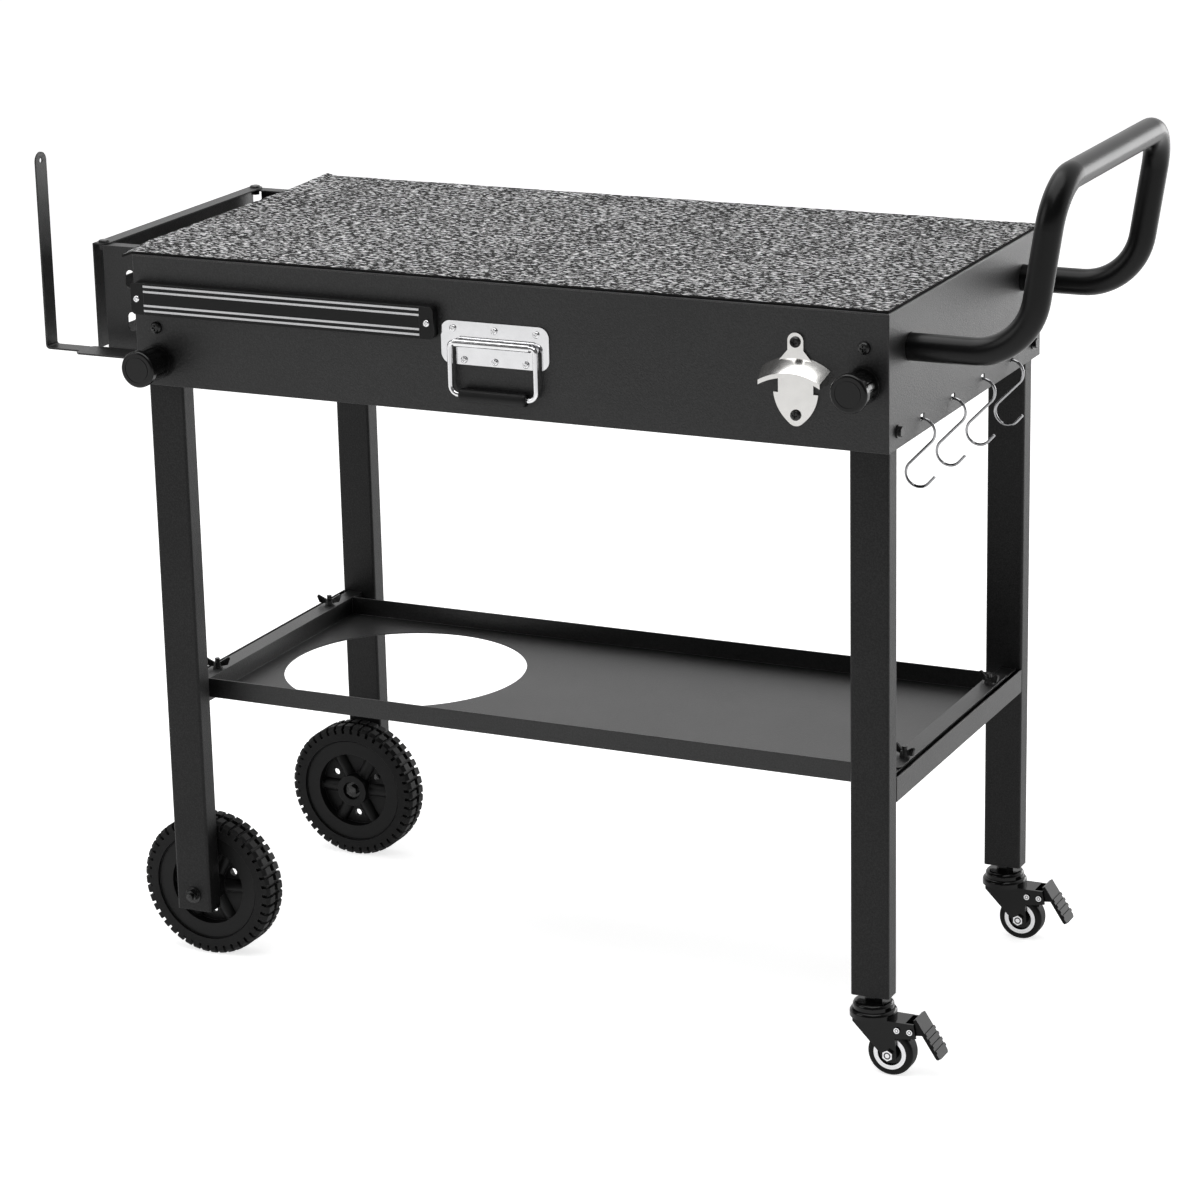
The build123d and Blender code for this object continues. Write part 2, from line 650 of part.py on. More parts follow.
def wing_nut():
    """A wing nut standing on the XY plane: a tapered hub with two leaning wings."""
    hub = Pos(0, 0, WING_HUB_HIGH / 2) * Cone(WING_HUB / 2, WING_HUB / 2 - 1.5, WING_HUB_HIGH)
    with BuildSketch(Plane.XZ) as leaf:
        with BuildLine():
            a = (WING_HUB / 4, WING_HUB_HIGH * 0.25)
            b = (WING_SPAN / 2 - WING_THICK, WING_HIGH)
            c = (WING_SPAN / 2, WING_HIGH - WING_THICK)
            d = (WING_SPAN / 2 - WING_THICK, WING_HUB_HIGH * 0.5)
            Line(a, (WING_HUB / 4, WING_HUB_HIGH))
            Line((WING_HUB / 4, WING_HUB_HIGH), b)
            TangentArc(b, c, tangent=(1, 0.3))
            Line(c, d)
            Line(d, a)
        make_face()
    wing = extrude(leaf.sketch, amount=WING_THICK / 2, both=True)
    nut = hub + wing + wing.mirror(Plane.YZ)
    return nut - Pos(0, 0, WING_HUB_HIGH / 2) * Cylinder(M6 / 2 + HOLE, WING_HUB_HIGH)


def shelf():
    """The tray between the cross members, clamped at its end flanges by wing nuts."""
    x0 = LEG_INSET_X + CROSS_WIDE + SLIP
    x1 = TABLE_LENGTH - x0
    y = (TRAY_INSET_Y, TABLE_WIDTH - TRAY_INSET_Y)
    top = CROSS_TOP + SHEET
    z = (top - TRAY_DEEP, top)
    tray = block((x0, x1), y, z)
    tray -= block((x0 + SHEET, x1 - SHEET), (y[0] + SHEET, y[1] - SHEET), (z[0] + SHEET, z[1]))
    flange = block((x0 + SHEET - TRAY_FLANGE, x0 + SHEET), (y[0] + SHEET, y[1] - SHEET), (CROSS_TOP, top))
    outer = flange.edges().filter_by(Axis.Z).group_by(Axis.X)[0]
    flange = fillet(outer, TRAY_FLANGE / 4)
    for by in SHELF_BOLT_YS:
        flange -= rod_z(SHELF_BOLT_X, by, (CROSS_TOP, top), M6 + 2 * HOLE)
    tray = tray + flange + flange.mirror(MID_X)
    tray -= rod_z(TANK_HOLE_X, TABLE_WIDTH / 2, (z[0], z[0] + SHEET), TANK_HOLE)
    keep("shelf_tray", tray)
    left = cross_member()
    keep("left_cross_member", left)
    keep("right_cross_member", left.mirror(MID_X))
    bolts = []
    nuts = []
    for by in SHELF_BOLT_YS:
        under = (SHELF_BOLT_X, by, CROSS_TOP - SHEET)
        shank = SHEET + SHEET + SHELF_BOLT_TALL
        bolts += both_ends(facing(under, (0, 0, -1), dome_bolt(M6, CARRIAGE_HEAD, CARRIAGE_HIGH, shank, False)))
        turned = Pos(SHELF_BOLT_X, by, top) * Rot(0, 0, 25) * wing_nut()
        nuts += both_ends(turned)
    keep("shelf_bolts", *bolts)
    keep("wing_nuts", *nuts)


def lug_row():
    """One row of tread lugs standing on the XY plane: a toothed ring with a bevelled shoulder."""
    wide = (WHEEL_WIDE - TREAD_GROOVE) / 2
    root = LUG_ROOT / 2
    tip = WHEEL / 2
    pitch = 2 * pi / WHEEL_LUGS
    points = []
    for i in range(WHEEL_LUGS):
        a = i * pitch
        b = a + pitch * LUG_GAP_SHARE
        points += [(tip * cos(a), tip * sin(a)), (root * cos(a), root * sin(a))]
        points += [(root * cos(b), root * sin(b)), (tip * cos(b), tip * sin(b))]
    ring = standing(wide, make_face(Polyline(*points, close=True)) - Circle(RIM / 2))
    bevel = SHOULDER
    outline = [(0, 0), (tip - bevel, 0), (tip, bevel), (tip, wide), (0, wide)]
    envelope = revolve(make_face(Plane.XZ * Polyline(*outline, close=True)), Axis.Z)
    return ring & envelope


def wheel_tyre():
    """A moulded tyre about the Z axis, centred on the XY plane."""
    half = WHEEL_WIDE / 2
    row = Pos(0, 0, -half) * lug_row()
    body = Cylinder(WHEEL / 2 - LUG_DEEP, WHEEL_WIDE - 2 * SHOULDER)
    side = Cylinder(LUG_ROOT / 2, WHEEL_WIDE - SHOULDER)
    bore = Cylinder(RIM / 2, WHEEL_WIDE)
    tyre = row + row.mirror(Plane.XY) + (body + side - bore)
    groove = Cylinder(SIDE_RING / 2, SIDE_RING_DEEP) - Cylinder(RIM / 2, SIDE_RING_DEEP)
    for z in (half, -half):
        tyre -= Pos(0, 0, z - (SIDE_RING_DEEP / 2 if z > 0 else -SIDE_RING_DEEP / 2)) * groove
    return tyre


def wheel_rim():
    """A moulded rim about the Z axis: ring, web with holes, round spokes and a long hub."""
    half = WHEEL_WIDE / 2
    ring = Cylinder(RIM / 2, RIM_WIDE) - Cylinder(RIM_RING / 2, RIM_WIDE)
    web = Cylinder(RIM_RING / 2, WEB)
    hub_long = WHEEL_WIDE + WHEEL_GAP - SLIP
    hub = Pos(0, 0, WHEEL_WIDE / 2 - hub_long / 2) * Cylinder(HUB / 2, hub_long)
    rim = ring + web + hub
    reach = RIM_RING / 2
    between = 180 / SPOKES
    spokes = PolarLocations(0, SPOKES, start_angle=between) * rod_x((0, reach), 0, 0, SPOKE)
    rim = rim + spokes
    mid = (HUB + RIM_RING) / 4
    holes = PolarLocations(mid, SPOKES // 2, start_angle=180) * Cylinder(WEB_HOLE / 2, WEB)
    rim = rim - holes
    rim -= Pos(0, 0, half - HUB_RECESS / 2) * Cylinder(HUB_RECESS_BORE / 2, HUB_RECESS)
    return rim - Cylinder(M8 / 2 + RUN, 2 * hub_long)


def big_wheels():
    """The wheels inboard of the left legs, each on an axle bolt with its head in the hub."""
    inner = LEG_BACK + WHEEL_GAP + WHEEL_WIDE
    centre = (LEG_MID_X, inner - WHEEL_WIDE / 2, AXLE_Z)
    tyre = facing(centre, (0, 1, 0), wheel_tyre())
    rim = facing(centre, (0, 1, 0), wheel_rim())
    keep("front_wheel_tyre", tyre)
    keep("front_wheel_rim", rim)
    keep("back_wheel_tyre", tyre.mirror(MID_Y))
    keep("back_wheel_rim", rim.mirror(MID_Y))
    seat = inner - HUB_RECESS + SLIP
    shank = seat - LEG_FRONT + HEX_8_HIGH + BOLT_END
    bolt = facing((LEG_MID_X, seat, AXLE_Z), (0, 1, 0), hex_bolt(M8, HEX_8, HEX_8_HIGH, NUT_FLANGE_8, shank))
    keep("wheel_axle_bolts", *both_sides(bolt))


CASTER_AXLE_Z = CASTER_WHEEL / 2
NUT_LOW = RIGHT_FOOT - STEM_NUT_HIGH
RACE_LOW = NUT_LOW - UPPER_RACE_HIGH
CROWN_TOP = RACE_LOW - SLIP
CROWN_LOW = CROWN_TOP - LOWER_RACE_HIGH - CROWN_THICK
CHEEK_IN = CASTER_TYRE_WIDE / 2 + CASTER_GAP
CHEEK_OUT = CHEEK_IN + CASTER_CHEEK
RIVET_FAR = RIVET_NEAR + RIVET_PITCH


def caster_stem():
    """A caster's fixed part about the stem: threaded insert, nut and upper race."""
    stem = rod_z(0, 0, (CROWN_LOW + CROWN_THICK + SLIP, RIGHT_FOOT + STEM_INSERT), STEM)
    nut = Pos(0, 0, NUT_LOW) * hexagon(STEM_NUT, STEM_NUT_HIGH)
    race = rod_z(0, 0, (RACE_LOW, NUT_LOW), UPPER_RACE)
    race = fillet(race.edges().group_by(Axis.Z)[-1], UPPER_RACE_HIGH * 0.6)
    inside = (LEG_X - 2 * LEG_WALL - 2 * HOLE, LEG_Y - 2 * LEG_WALL - 2 * HOLE)
    plug = Pos(0, 0, RIGHT_FOOT) * standing(STEM_INSERT, Rectangle(*inside))
    return stem + nut + race + plug


def caster_fork():
    """A caster's fork: lower race, crown plate, two slanted cheeks, axle and rivets."""
    race = rod_z(0, 0, (CROWN_LOW + CROWN_THICK, CROWN_TOP), LOWER_RACE)
    race = fillet(race.edges().group_by(Axis.Z)[-1], LOWER_RACE_HIGH * 0.5)
    crown = block((0, CROWN_REACH), (-CHEEK_OUT, CHEEK_OUT), (CROWN_LOW, CROWN_LOW + CROWN_THICK))
    crown += rod_z(0, 0, (CROWN_LOW, CROWN_LOW + CROWN_THICK), 2 * CHEEK_BACK + LEG_WALL)
    axle = (CASTER_TRAIL, CASTER_AXLE_Z)
    lobe = CHEEK_LOBE
    side = Plane.XZ * make_face(Polyline(
        (-CHEEK_BACK, CROWN_LOW + CROWN_THICK), (CHEEK_REACH, CROWN_LOW + CROWN_THICK),
        (RIVET_FAR + RIVET, RIVET_Z - RIVET), (RIVET_NEAR - CASTER_CHEEK, CASTER_WHEEL - RIVET),
        (axle[0] + lobe, axle[1]), (axle[0] - lobe, axle[1]), (-CHEEK_BACK, CROWN_LOW - CROWN_THICK),
        close=True))
    cheek = Pos(0, -CHEEK_IN, 0) * extrude(side, amount=CASTER_CHEEK)
    cheek += rod_y(axle[0], (-CHEEK_OUT, -CHEEK_IN), axle[1], 2 * lobe)
    fork = race + crown + cheek + cheek.mirror(Plane.XZ)
    head = RIVET_HIGH + CASTER_CHEEK
    fork += rod_y(axle[0], (-CHEEK_OUT, CHEEK_OUT), axle[1], CASTER_AXLE)
    nut = facing((axle[0], -CHEEK_OUT, axle[1]), (0, -1, 0), hexagon(CASTER_NUT, CASTER_NUT_HIGH))
    fork = fork + nut + nut.mirror(Plane.XZ)
    for x in (RIVET_NEAR, RIVET_FAR):
        fork += rod_y(x, (-CHEEK_IN - head, CHEEK_IN + head), RIVET_Z, RIVET)
    return fork - rod_z(0, 0, (CROWN_LOW, CROWN_TOP), STEM + 2 * SLIP)


def caster_tyre():
    """A caster's soft tyre about the Z axis, with rounded shoulders."""
    tyre = Cylinder(CASTER_WHEEL / 2, CASTER_TYRE_WIDE)
    tyre = fillet(tyre.edges(), CASTER_TYRE_WIDE / 5)
    return tyre - Cylinder(CASTER_CORE / 2, CASTER_TYRE_WIDE)


def caster_core():
    """A caster wheel's core about the Z axis: a ring dished on both faces, on the axle."""
    core = Cylinder(CASTER_CORE / 2, CASTER_TYRE_WIDE)
    dish = Pos(0, 0, CASTER_TYRE_WIDE / 2 - CASTER_DISH_DEEP / 2) * Cylinder(CASTER_DISH / 2, CASTER_DISH_DEEP)
    hub = Cylinder(CASTER_AXLE, CASTER_TYRE_WIDE + CASTER_GAP)
    core = core - dish - dish.mirror(Plane.XY) + hub
    return core - Cylinder(CASTER_AXLE / 2 + RUN, 2 * CASTER_TYRE_WIDE)


def caster_pedal():
    """A brake pedal: ribbed foot plate, arms to the far rivet and a shoe over the tyre."""
    half = PEDAL_WIDE / 2
    plate = block((0, PEDAL_LONG), (-half, half), (-PEDAL_THICK, 0))
    plate = fillet(plate.edges().filter_by(Axis.Z).group_by(Axis.X)[-1], half / 3)
    step = PEDAL_LONG / (PEDAL_RIBS + 3)
    for i in range(PEDAL_RIBS):
        x = step * (i + 2.5)
        plate += block((x, x + step / 2), (-half, half), (0, PEDAL_RIB))
    plate = Pos(PEDAL_TOP_X, 0, PEDAL_TOP_Z) * Rot(0, PEDAL_SLOPE, 0) * plate
    inner = CHEEK_IN - SLIP
    hub = rod_y(RIVET_FAR, (-inner, inner), RIVET_Z, PEDAL_HUB)
    arm = Plane.XZ * make_face(Polyline(
        (RIVET_FAR, RIVET_Z - PEDAL_HUB / 2), (RIVET_FAR - 1, RIVET_Z + PEDAL_HUB / 2),
        (PEDAL_TOP_X, PEDAL_TOP_Z - PEDAL_THICK), (PEDAL_TOP_X + 9, PEDAL_TOP_Z - 19), close=True))
    web = extrude(arm, amount=inner, both=True)
    over = RIVET_FAR - CASTER_TRAIL
    up = RIVET_Z - CASTER_AXLE_Z
    reach = hypot(over, up) - CASTER_WHEEL / 2 - 2 * SLIP
    lean = degrees(atan2(over, up)) - BRAKE_TURN
    shoe = block((-BRAKE_SHOE / 2, BRAKE_SHOE / 2), (-CASTER_TYRE_WIDE / 2, CASTER_TYRE_WIDE / 2), (-reach, 0))
    shoe = Pos(RIVET_FAR, 0, RIVET_Z) * Rot(0, lean, 0) * shoe
    return plate + web + hub + shoe - rod_y(RIVET_FAR, (-inner, inner), RIVET_Z, RIVET + 2 * RUN)


def casters():
    """Two braked swivel casters under the right legs, trailing to the right."""
    stem = caster_stem()
    stems = []
    for name, y in (("front", LEG_MID_Y), ("back", TABLE_WIDTH - LEG_MID_Y)):
        at = Pos(CASTER_X, y, 0)
        wheel = at * Plane(origin=(CASTER_TRAIL, 0, CASTER_AXLE_Z), z_dir=(0, 1, 0)).location
        stems.append(at * stem)
        keep(name + "_caster_fork", at * caster_fork())
        keep(name + "_caster_tyre", wheel * caster_tyre())
        keep(name + "_caster_core", wheel * caster_core())
        keep(name + "_caster_pedal", at * caster_pedal())
    keep("caster_stems", *stems)


def push_handle():
    """The bent tube handle, pushed through the right end panel into two welded sleeves."""
    start = TABLE_LENGTH - SHEET - HANDLE_INSIDE
    elbow = TABLE_LENGTH + HANDLE_REACH
    front, back = HANDLE_YS
    route = [(start, front, HANDLE_Z), (elbow, front, HANDLE_Z), (HANDLE_TOP_X, front, HANDLE_TOP_Z),
             (HANDLE_TOP_X, back, HANDLE_TOP_Z), (elbow, back, HANDLE_Z), (start, back, HANDLE_Z)]
    radii = [HANDLE_BEND, HANDLE_CORNER, HANDLE_CORNER, HANDLE_BEND]
    path = FilletPolyline(*route, radius=radii)
    ring = Circle(TUBE / 2) - Circle(TUBE / 2 - TUBE_WALL)
    keep("push_handle", sweep(Plane(origin=route[0], z_dir=(1, 0, 0)) * ring, path=path))
    sleeve_in = TUBE + 2 * HOLE
    sleeve_out = sleeve_in + 2 * SLEEVE_WALL
    wall = TABLE_LENGTH - SHEET
    run = (wall - HANDLE_INSIDE, wall)
    sleeve = rod_x(run, front, HANDLE_Z, sleeve_out)
    half = sleeve_out / 2
    tall = half + SLEEVE_FLANGE
    sleeve += block((wall - SHEET, wall), (front - half, front + half), (HANDLE_Z - tall, HANDLE_Z + tall))
    keep("handle_sleeves", *both_sides(sleeve - rod_x(run, front, HANDLE_Z, sleeve_in)))


def knife_bar():
    """The magnetic bar: a black body with four inlaid steel strips between two end caps."""
    y = (-BAR_THICK, 0)
    z = (BAR_TOP - BAR_TALL, BAR_TOP)
    x = (BAR_X + BAR_CAP, BAR_X + BAR_LONG - BAR_CAP)
    body = block(x, y, z)
    strips = []
    for drop in STRIP_DROPS:
        level = (BAR_TOP - drop - STRIP_TALL / 2, BAR_TOP - drop + STRIP_TALL / 2)
        body -= block(x, (-BAR_THICK, STRIP_DEEP - BAR_THICK), level)
        strips.append(block(x, (-BAR_THICK - STRIP_PROUD, STRIP_DEEP - BAR_THICK), level))
    keep("knife_bar_body", body)
    keep("knife_bar_strips", *strips)
    cap = block((BAR_X, BAR_X + BAR_CAP), y, z)
    cap = fillet(cap.edges().filter_by(Axis.Y).group_by(Axis.X)[0], BAR_CORNER)
    screw_x, screw_z = BAR_SCREWS[0]
    cap -= rod_y(screw_x, y, screw_z, M4 + 2 * HOLE)
    middle = Plane(origin=(BAR_X + BAR_LONG / 2, 0, 0), z_dir=(1, 0, 0))
    keep("knife_bar_caps", cap, cap.mirror(middle))


def chest_handle():
    """The folding handle: pressed plate with a rolled knuckle, wire bail and grip."""
    x0 = PLATE_X
    x1 = PLATE_X + PLATE_LONG
    z = (PLATE_TOP - PLATE_TALL, PLATE_TOP)
    axis_y = -GRIP / 2 - BAIL_STANDOFF
    axis_z = PLATE_TOP - BARREL_DROP
    plate = block((x0, x1), (-PLATE_THICK, 0), z)
    plate = fillet(plate.edges().filter_by(Axis.Y), PLATE_CORNER)
    bail_xs = (x0 + BAIL_INSET, x1 - BAIL_INSET)
    for x in bail_xs:
        notch = (x - BAIL_NOTCH / 2, x + BAIL_NOTCH / 2)
        plate -= block(notch, (-PLATE_THICK, 0), (z[0], axis_z - KNUCKLE / 2))
    for x, level in PLATE_SCREWS:
        plate -= rod_y(x, (-PLATE_THICK, 0), level, M4 + 2 * HOLE)
    run = (x0 + KNUCKLE_INSET, x1 - KNUCKLE_INSET)
    knuckle = rod_x(run, axis_y, axis_z, KNUCKLE)
    knuckle += block(run, (axis_y, 0), (axis_z - KNUCKLE / 2, axis_z))
    plate = plate + knuckle - rod_x(run, axis_y, axis_z, BAIL_ROD + 2 * RUN)
    keep("chest_handle_plate", plate)
    low = axis_z - BAIL_TALL
    left, right = bail_xs
    route = [(left + BAIL_TAIL, axis_y, axis_z), (left, axis_y, axis_z), (left, axis_y, low),
             (right, axis_y, low), (right, axis_y, axis_z), (right - BAIL_TAIL, axis_y, axis_z)]
    path = FilletPolyline(*route, radius=[BAIL_TURN, BAIL_CORNER, BAIL_CORNER, BAIL_TURN])
    keep("chest_handle_bail", sweep(Plane(origin=route[0], z_dir=(-1, 0, 0)) * Circle(BAIL_ROD / 2), path=path))
    middle = (left + right) / 2
    grip_run = (middle - GRIP_LONG / 2, middle + GRIP_LONG / 2)
    grip = rod_x(grip_run, axis_y, low, GRIP)
    grip = fillet(grip.edges(), GRIP / 5)
    keep("chest_handle_grip", grip - rod_x(grip_run, axis_y, low, BAIL_ROD + 2 * HOLE))
    bright = []
    screw = dome_bolt(M4, PAN_4, PAN_4_HIGH, PLATE_THICK + SHEET + SCREW_BEHIND)
    for x, level in PLATE_SCREWS:
        bright.append(facing((x, -PLATE_THICK, level), (0, -1, 0), screw))
    screw = dome_bolt(M4, PAN_4, PAN_4_HIGH, BAR_THICK + SHEET + SCREW_BEHIND)
    for x, level in BAR_SCREWS:
        bright.append(facing((x, -BAR_THICK, level), (0, -1, 0), screw))
    keep("bright_screws", *bright)


def hood_section(out, inset):
    """The opener's hood cut at a distance out from its plate, or its hollow when inset by the wall."""
    share = out / OPENER_RIM_OUT
    low = OPENER_TOP - OPENER_RIM_LOW
    rim_top = low + OPENER_RIM_TALL
    half = (OPENER_HOOD + (OPENER_RIM - OPENER_HOOD) * share) / 2 - inset
    at_plate = OPENER_TOP - OPENER_SHOULDER
    shoulder = at_plate + (rim_top - at_plate) * share - inset
    crown = shoulder + OPENER_CROWN + (OPENER_ARCH - OPENER_CROWN) * share
    foot = OPENER_RIM / 2 - inset
    low -= 2 * inset
    with BuildSketch(Plane.XZ.offset(out)) as section:
        with BuildLine():
            ThreePointArc((OPENER_X - half, shoulder), (OPENER_X, crown), (OPENER_X + half, shoulder))
            Line((OPENER_X + half, shoulder), (OPENER_X + foot, low))
            ThreePointArc((OPENER_X + foot, low), (OPENER_X, low + OPENER_ARCH), (OPENER_X - foot, low))
            Line((OPENER_X - foot, low), (OPENER_X - half, shoulder))
        make_face()
    return section.sketch.face()


def opener_shield():
    """The outline of the opener's plate: a rounded tab, a neck with flared shoulders and a pointed shield."""
    tab = OPENER_TAB / 2
    neck = OPENER_NECK / 2
    half = OPENER_SHIELD / 2
    round_top = OPENER_TOP - tab
    flare = OPENER_TOP - OPENER_FLARE
    neck_top = OPENER_TOP - OPENER_NECK_TOP
    full = OPENER_TOP - SHIELD_FULL
    low = OPENER_TOP - OPENER_TALL
    side, side_down = SHIELD_SIDE
    toe, toe_down = SHIELD_TOE
    with BuildSketch(Plane.XZ) as shield:
        with BuildLine():
            for way in (-1, 1):
                Line((OPENER_X + way * tab, round_top), (OPENER_X + way * tab, flare))
                Line((OPENER_X + way * tab, flare), (OPENER_X + way * neck, neck_top))
                Line((OPENER_X + way * neck, neck_top), (OPENER_X + way * neck, full))
                Line((OPENER_X + way * neck, full), (OPENER_X + way * half, full))
                ThreePointArc((OPENER_X + way * half, full), (OPENER_X + way * side, OPENER_TOP - side_down),
                              (OPENER_X + way * toe, OPENER_TOP - toe_down))
            ThreePointArc((OPENER_X - tab, round_top), (OPENER_X, OPENER_TOP), (OPENER_X + tab, round_top))
            ThreePointArc((OPENER_X - toe, OPENER_TOP - toe_down), (OPENER_X, low),
                          (OPENER_X + toe, OPENER_TOP - toe_down))
        make_face()
    return shield.sketch


def bottle_opener():
    """The cast opener: a shield plate with a top tab, and an arched visor open below."""
    y = (-OPENER_PLATE, 0)
    opener = extrude(opener_shield(), amount=OPENER_PLATE)
    hood = loft([hood_section(0, 0), hood_section(OPENER_RIM_OUT, 0)], ruled=True)
    inner = OPENER_RIM_OUT - OPENER_HOOD_WALL
    hollow = loft([hood_section(0, OPENER_HOOD_WALL), hood_section(inner, OPENER_HOOD_WALL)], ruled=True)
    hollow -= block((OPENER_X - OPENER_HOOD, OPENER_X + OPENER_HOOD), y, (OPENER_TOP - OPENER_TALL, OPENER_TOP))
    opener = opener + (hood - hollow)
    for x, z in OPENER_SCREWS:
        opener -= rod_y(x, y, z, M4 + 2 * HOLE)
    keep("bottle_opener", opener)
    screw = dome_bolt(M4, PAN_OPENER, PAN_OPENER_HIGH, OPENER_PLATE + SHEET + SCREW_BEHIND)
    screws = [facing((x, -OPENER_PLATE, z), (0, -1, 0), screw) for x, z in OPENER_SCREWS]
    keep("opener_screws", *screws)


def s_hooks():
    """Four wire hooks hung in the slots along the right end panel."""
    r = HOOK_RADIUS
    span = hypot(HOOK_LEAN, HOOK_LONG)
    turn = degrees(atan2(-HOOK_LONG, -HOOK_LEAN) + acos(2 * r / span))
    upper = CenterArc((0, -r), r, HOOK_START, turn - HOOK_START)
    lower = CenterArc((-HOOK_LEAN, -r - HOOK_LONG), r, turn + 180, HOOK_END - turn - 180)
    end = lower @ 1
    tip = Line(end, end + (lower % 1) * HOOK_TIP)
    path = Wire([Plane.XZ * bend for bend in (upper, Line(upper @ 1, lower @ 0), lower, tip)])
    start = path @ 0
    section = Plane(origin=start, z_dir=path % 0) * Circle(HOOK_WIRE / 2)
    hook = sweep(section, path=path)
    for i, y in enumerate(HOOK_YS):
        keep("s_hook_%d" % (i + 1), Pos(TABLE_LENGTH - SHEET / 2, y, HOOK_Z) * hook)


def bag_arm():
    """The front arm of the bag frame: a slotted plate under an inward flange with two pivot eyes."""
    x = (BAG_ARM_OUT - BAG_REACH, -BAG_ARM_IN)
    y0 = BAG_INSET_Y
    z = (BAG_TOP - BAG_TALL, BAG_ARM_TOP)
    plate = block(x, (y0, y0 + SHEET), z)
    for drop in BAG_SLOT_DROPS:
        slot = SlotOverall(BAG_SLOT_TALL, BAG_SLOT_WIDE, rotation=90)
        cut = Plane(origin=(-BAG_SLOT_X, y0, TOP - drop), x_dir=(1, 0, 0), z_dir=(0, -1, 0)) * slot
        plate -= extrude(cut, amount=SHEET, both=True)
    level = (BAG_ARM_TOP - SHEET, BAG_ARM_TOP)
    flange = block(x, (y0, y0 + BAG_ARM_FLANGE), level)
    half = BAG_TONGUE / 2
    tongue = block((BAG_OUT_X, BAG_IN_X), (BAG_PIVOT - half, BAG_PIVOT + half), level)
    for px in (BAG_OUT_X, BAG_IN_X):
        tongue += rod_z(px, BAG_PIVOT, level, BAG_TONGUE)
    return plate + flange + tongue


def bag_frame():
    """The folding bag frame: two arms on the left end panel's tabs and an outer panel on their ends."""
    level = (BAG_ARM_TOP - SHEET, BAG_ARM_TOP)
    arm = bag_arm()
    back = arm.mirror(MID_Y)
    for x in (BAG_OUT_X, BAG_IN_X):
        arm -= rod_z(x, BAG_PIVOTS[0], level, M6 + 2 * RUN)
    back -= rod_z(BAG_IN_X, BAG_PIVOTS[1], level, M6 + 2 * RUN)
    back -= rod_z(BAG_OUT_X, BAG_PIVOTS[1], level, M6 + 2 * BAG_OPEN_PLAY)
    keep("bag_front_arm", arm)
    keep("bag_back_arm", back)
    y = (BAG_INSET_Y, TABLE_WIDTH - BAG_INSET_Y)
    panel = block((-BAG_REACH - SHEET, -BAG_REACH), y, (BAG_TOP - BAG_TALL, BAG_TOP))
    flange = block((-BAG_REACH, -BAG_REACH + BAG_FLANGE), y, (BAG_TOP - SHEET, BAG_TOP))
    ends = flange.edges().filter_by(Axis.Z).group_by(Axis.X)[-1]
    panel += fillet(ends, BAG_FLANGE / 2)
    bend = panel.edges().filter_by(Axis.Y).sort_by_distance((-BAG_REACH - SHEET, TABLE_WIDTH / 2, BAG_TOP))[0]
    panel = fillet(bend, BEND)
    window = RectangleRounded(BAG_WINDOW_WIDE, BAG_WINDOW_TALL, BAG_WINDOW_CORNER)
    for drop in BAG_WINDOW_DROPS:
        at = Plane(origin=(-BAG_REACH - SHEET, BAG_INSET_Y + BAG_WINDOW_Y, TOP - drop),
                   x_dir=(0, 1, 0), z_dir=(1, 0, 0))
        for cut in both_sides(extrude(at * window, amount=SHEET)):
            panel -= cut
    pieces = []
    for py in BAG_PIVOTS:
        panel -= rod_z(BAG_OUT_X, py, (BAG_TOP - SHEET, BAG_TOP), M6 + 2 * RUN)
        long = BAG_TOP - level[0] + SLIP + NUT_6_HIGH
        bolt = dome_bolt(M6, BAG_HEAD, BAG_HEAD_HIGH, long, False)
        pieces.append(Pos(BAG_OUT_X, py, BAG_TOP) * bolt)
        nut = hexagon(HEX_6, NUT_6_HIGH) - Pos(0, 0, NUT_6_HIGH / 2) * Cylinder(M6 / 2 + HOLE, NUT_6_HIGH)
        pieces.append(Pos(BAG_OUT_X, py, BAG_TOP - long) * nut)
    keep("bag_outer_panel", panel)
    keep("bag_corner_bolts", *pieces)


def towel_bar():
    """The paper towel bar: a flat strap from the left end panel, bent up to a round tip."""
    y = (TOWEL_Y, TOWEL_Y + TOWEL_WIDE)
    foot_y = (TOWEL_FOOT_Y, TOWEL_FOOT_Y + TOWEL_FOOT_WIDE)
    z = (TOP - TOWEL_DROP - TOWEL_THICK, TOP - TOWEL_DROP)
    x = (-TOWEL_REACH - TOWEL_THICK, -TOWEL_REACH)
    tip = TOP + TOWEL_RISE - TOWEL_WIDE / 2
    mid = TOWEL_Y + TOWEL_WIDE / 2
    upright = block(x, y, (z[0], tip)) + rod_x(x, mid, tip, TOWEL_WIDE)
    arm = upright + block((x[0], -TOWEL_FOOT_LONG), y, z)
    bend = arm.edges().filter_by(Axis.Y).sort_by_distance((x[0], mid, z[0]))[0]
    arm = fillet(bend, TOWEL_BEND)
    inner = arm.edges().filter_by(Axis.Y).sort_by_distance((x[1], mid, z[1]))[0]
    arm = fillet(inner, TOWEL_BEND - TOWEL_THICK)
    foot = block((-TOWEL_FOOT_LONG, 0), foot_y, z)
    foot = chamfer(foot.edges().filter_by(Axis.Z).group_by(Axis.X)[0], TOWEL_BEND)
    tab = block((-TOWEL_THICK, 0), foot_y, (z[1] - TOWEL_TAB, z[1]))
    bar = arm + foot + tab
    bar -= rod_x((-TOWEL_THICK, 0), LEG_MID_Y, END_BOLT_Z, M6 + 2 * HOLE)
    bar -= rod_x(x, mid, TOP + TOWEL_RISE - TOWEL_HOLE_DROP, TOWEL_HOLE)
    keep("paper_towel_bar", bar)


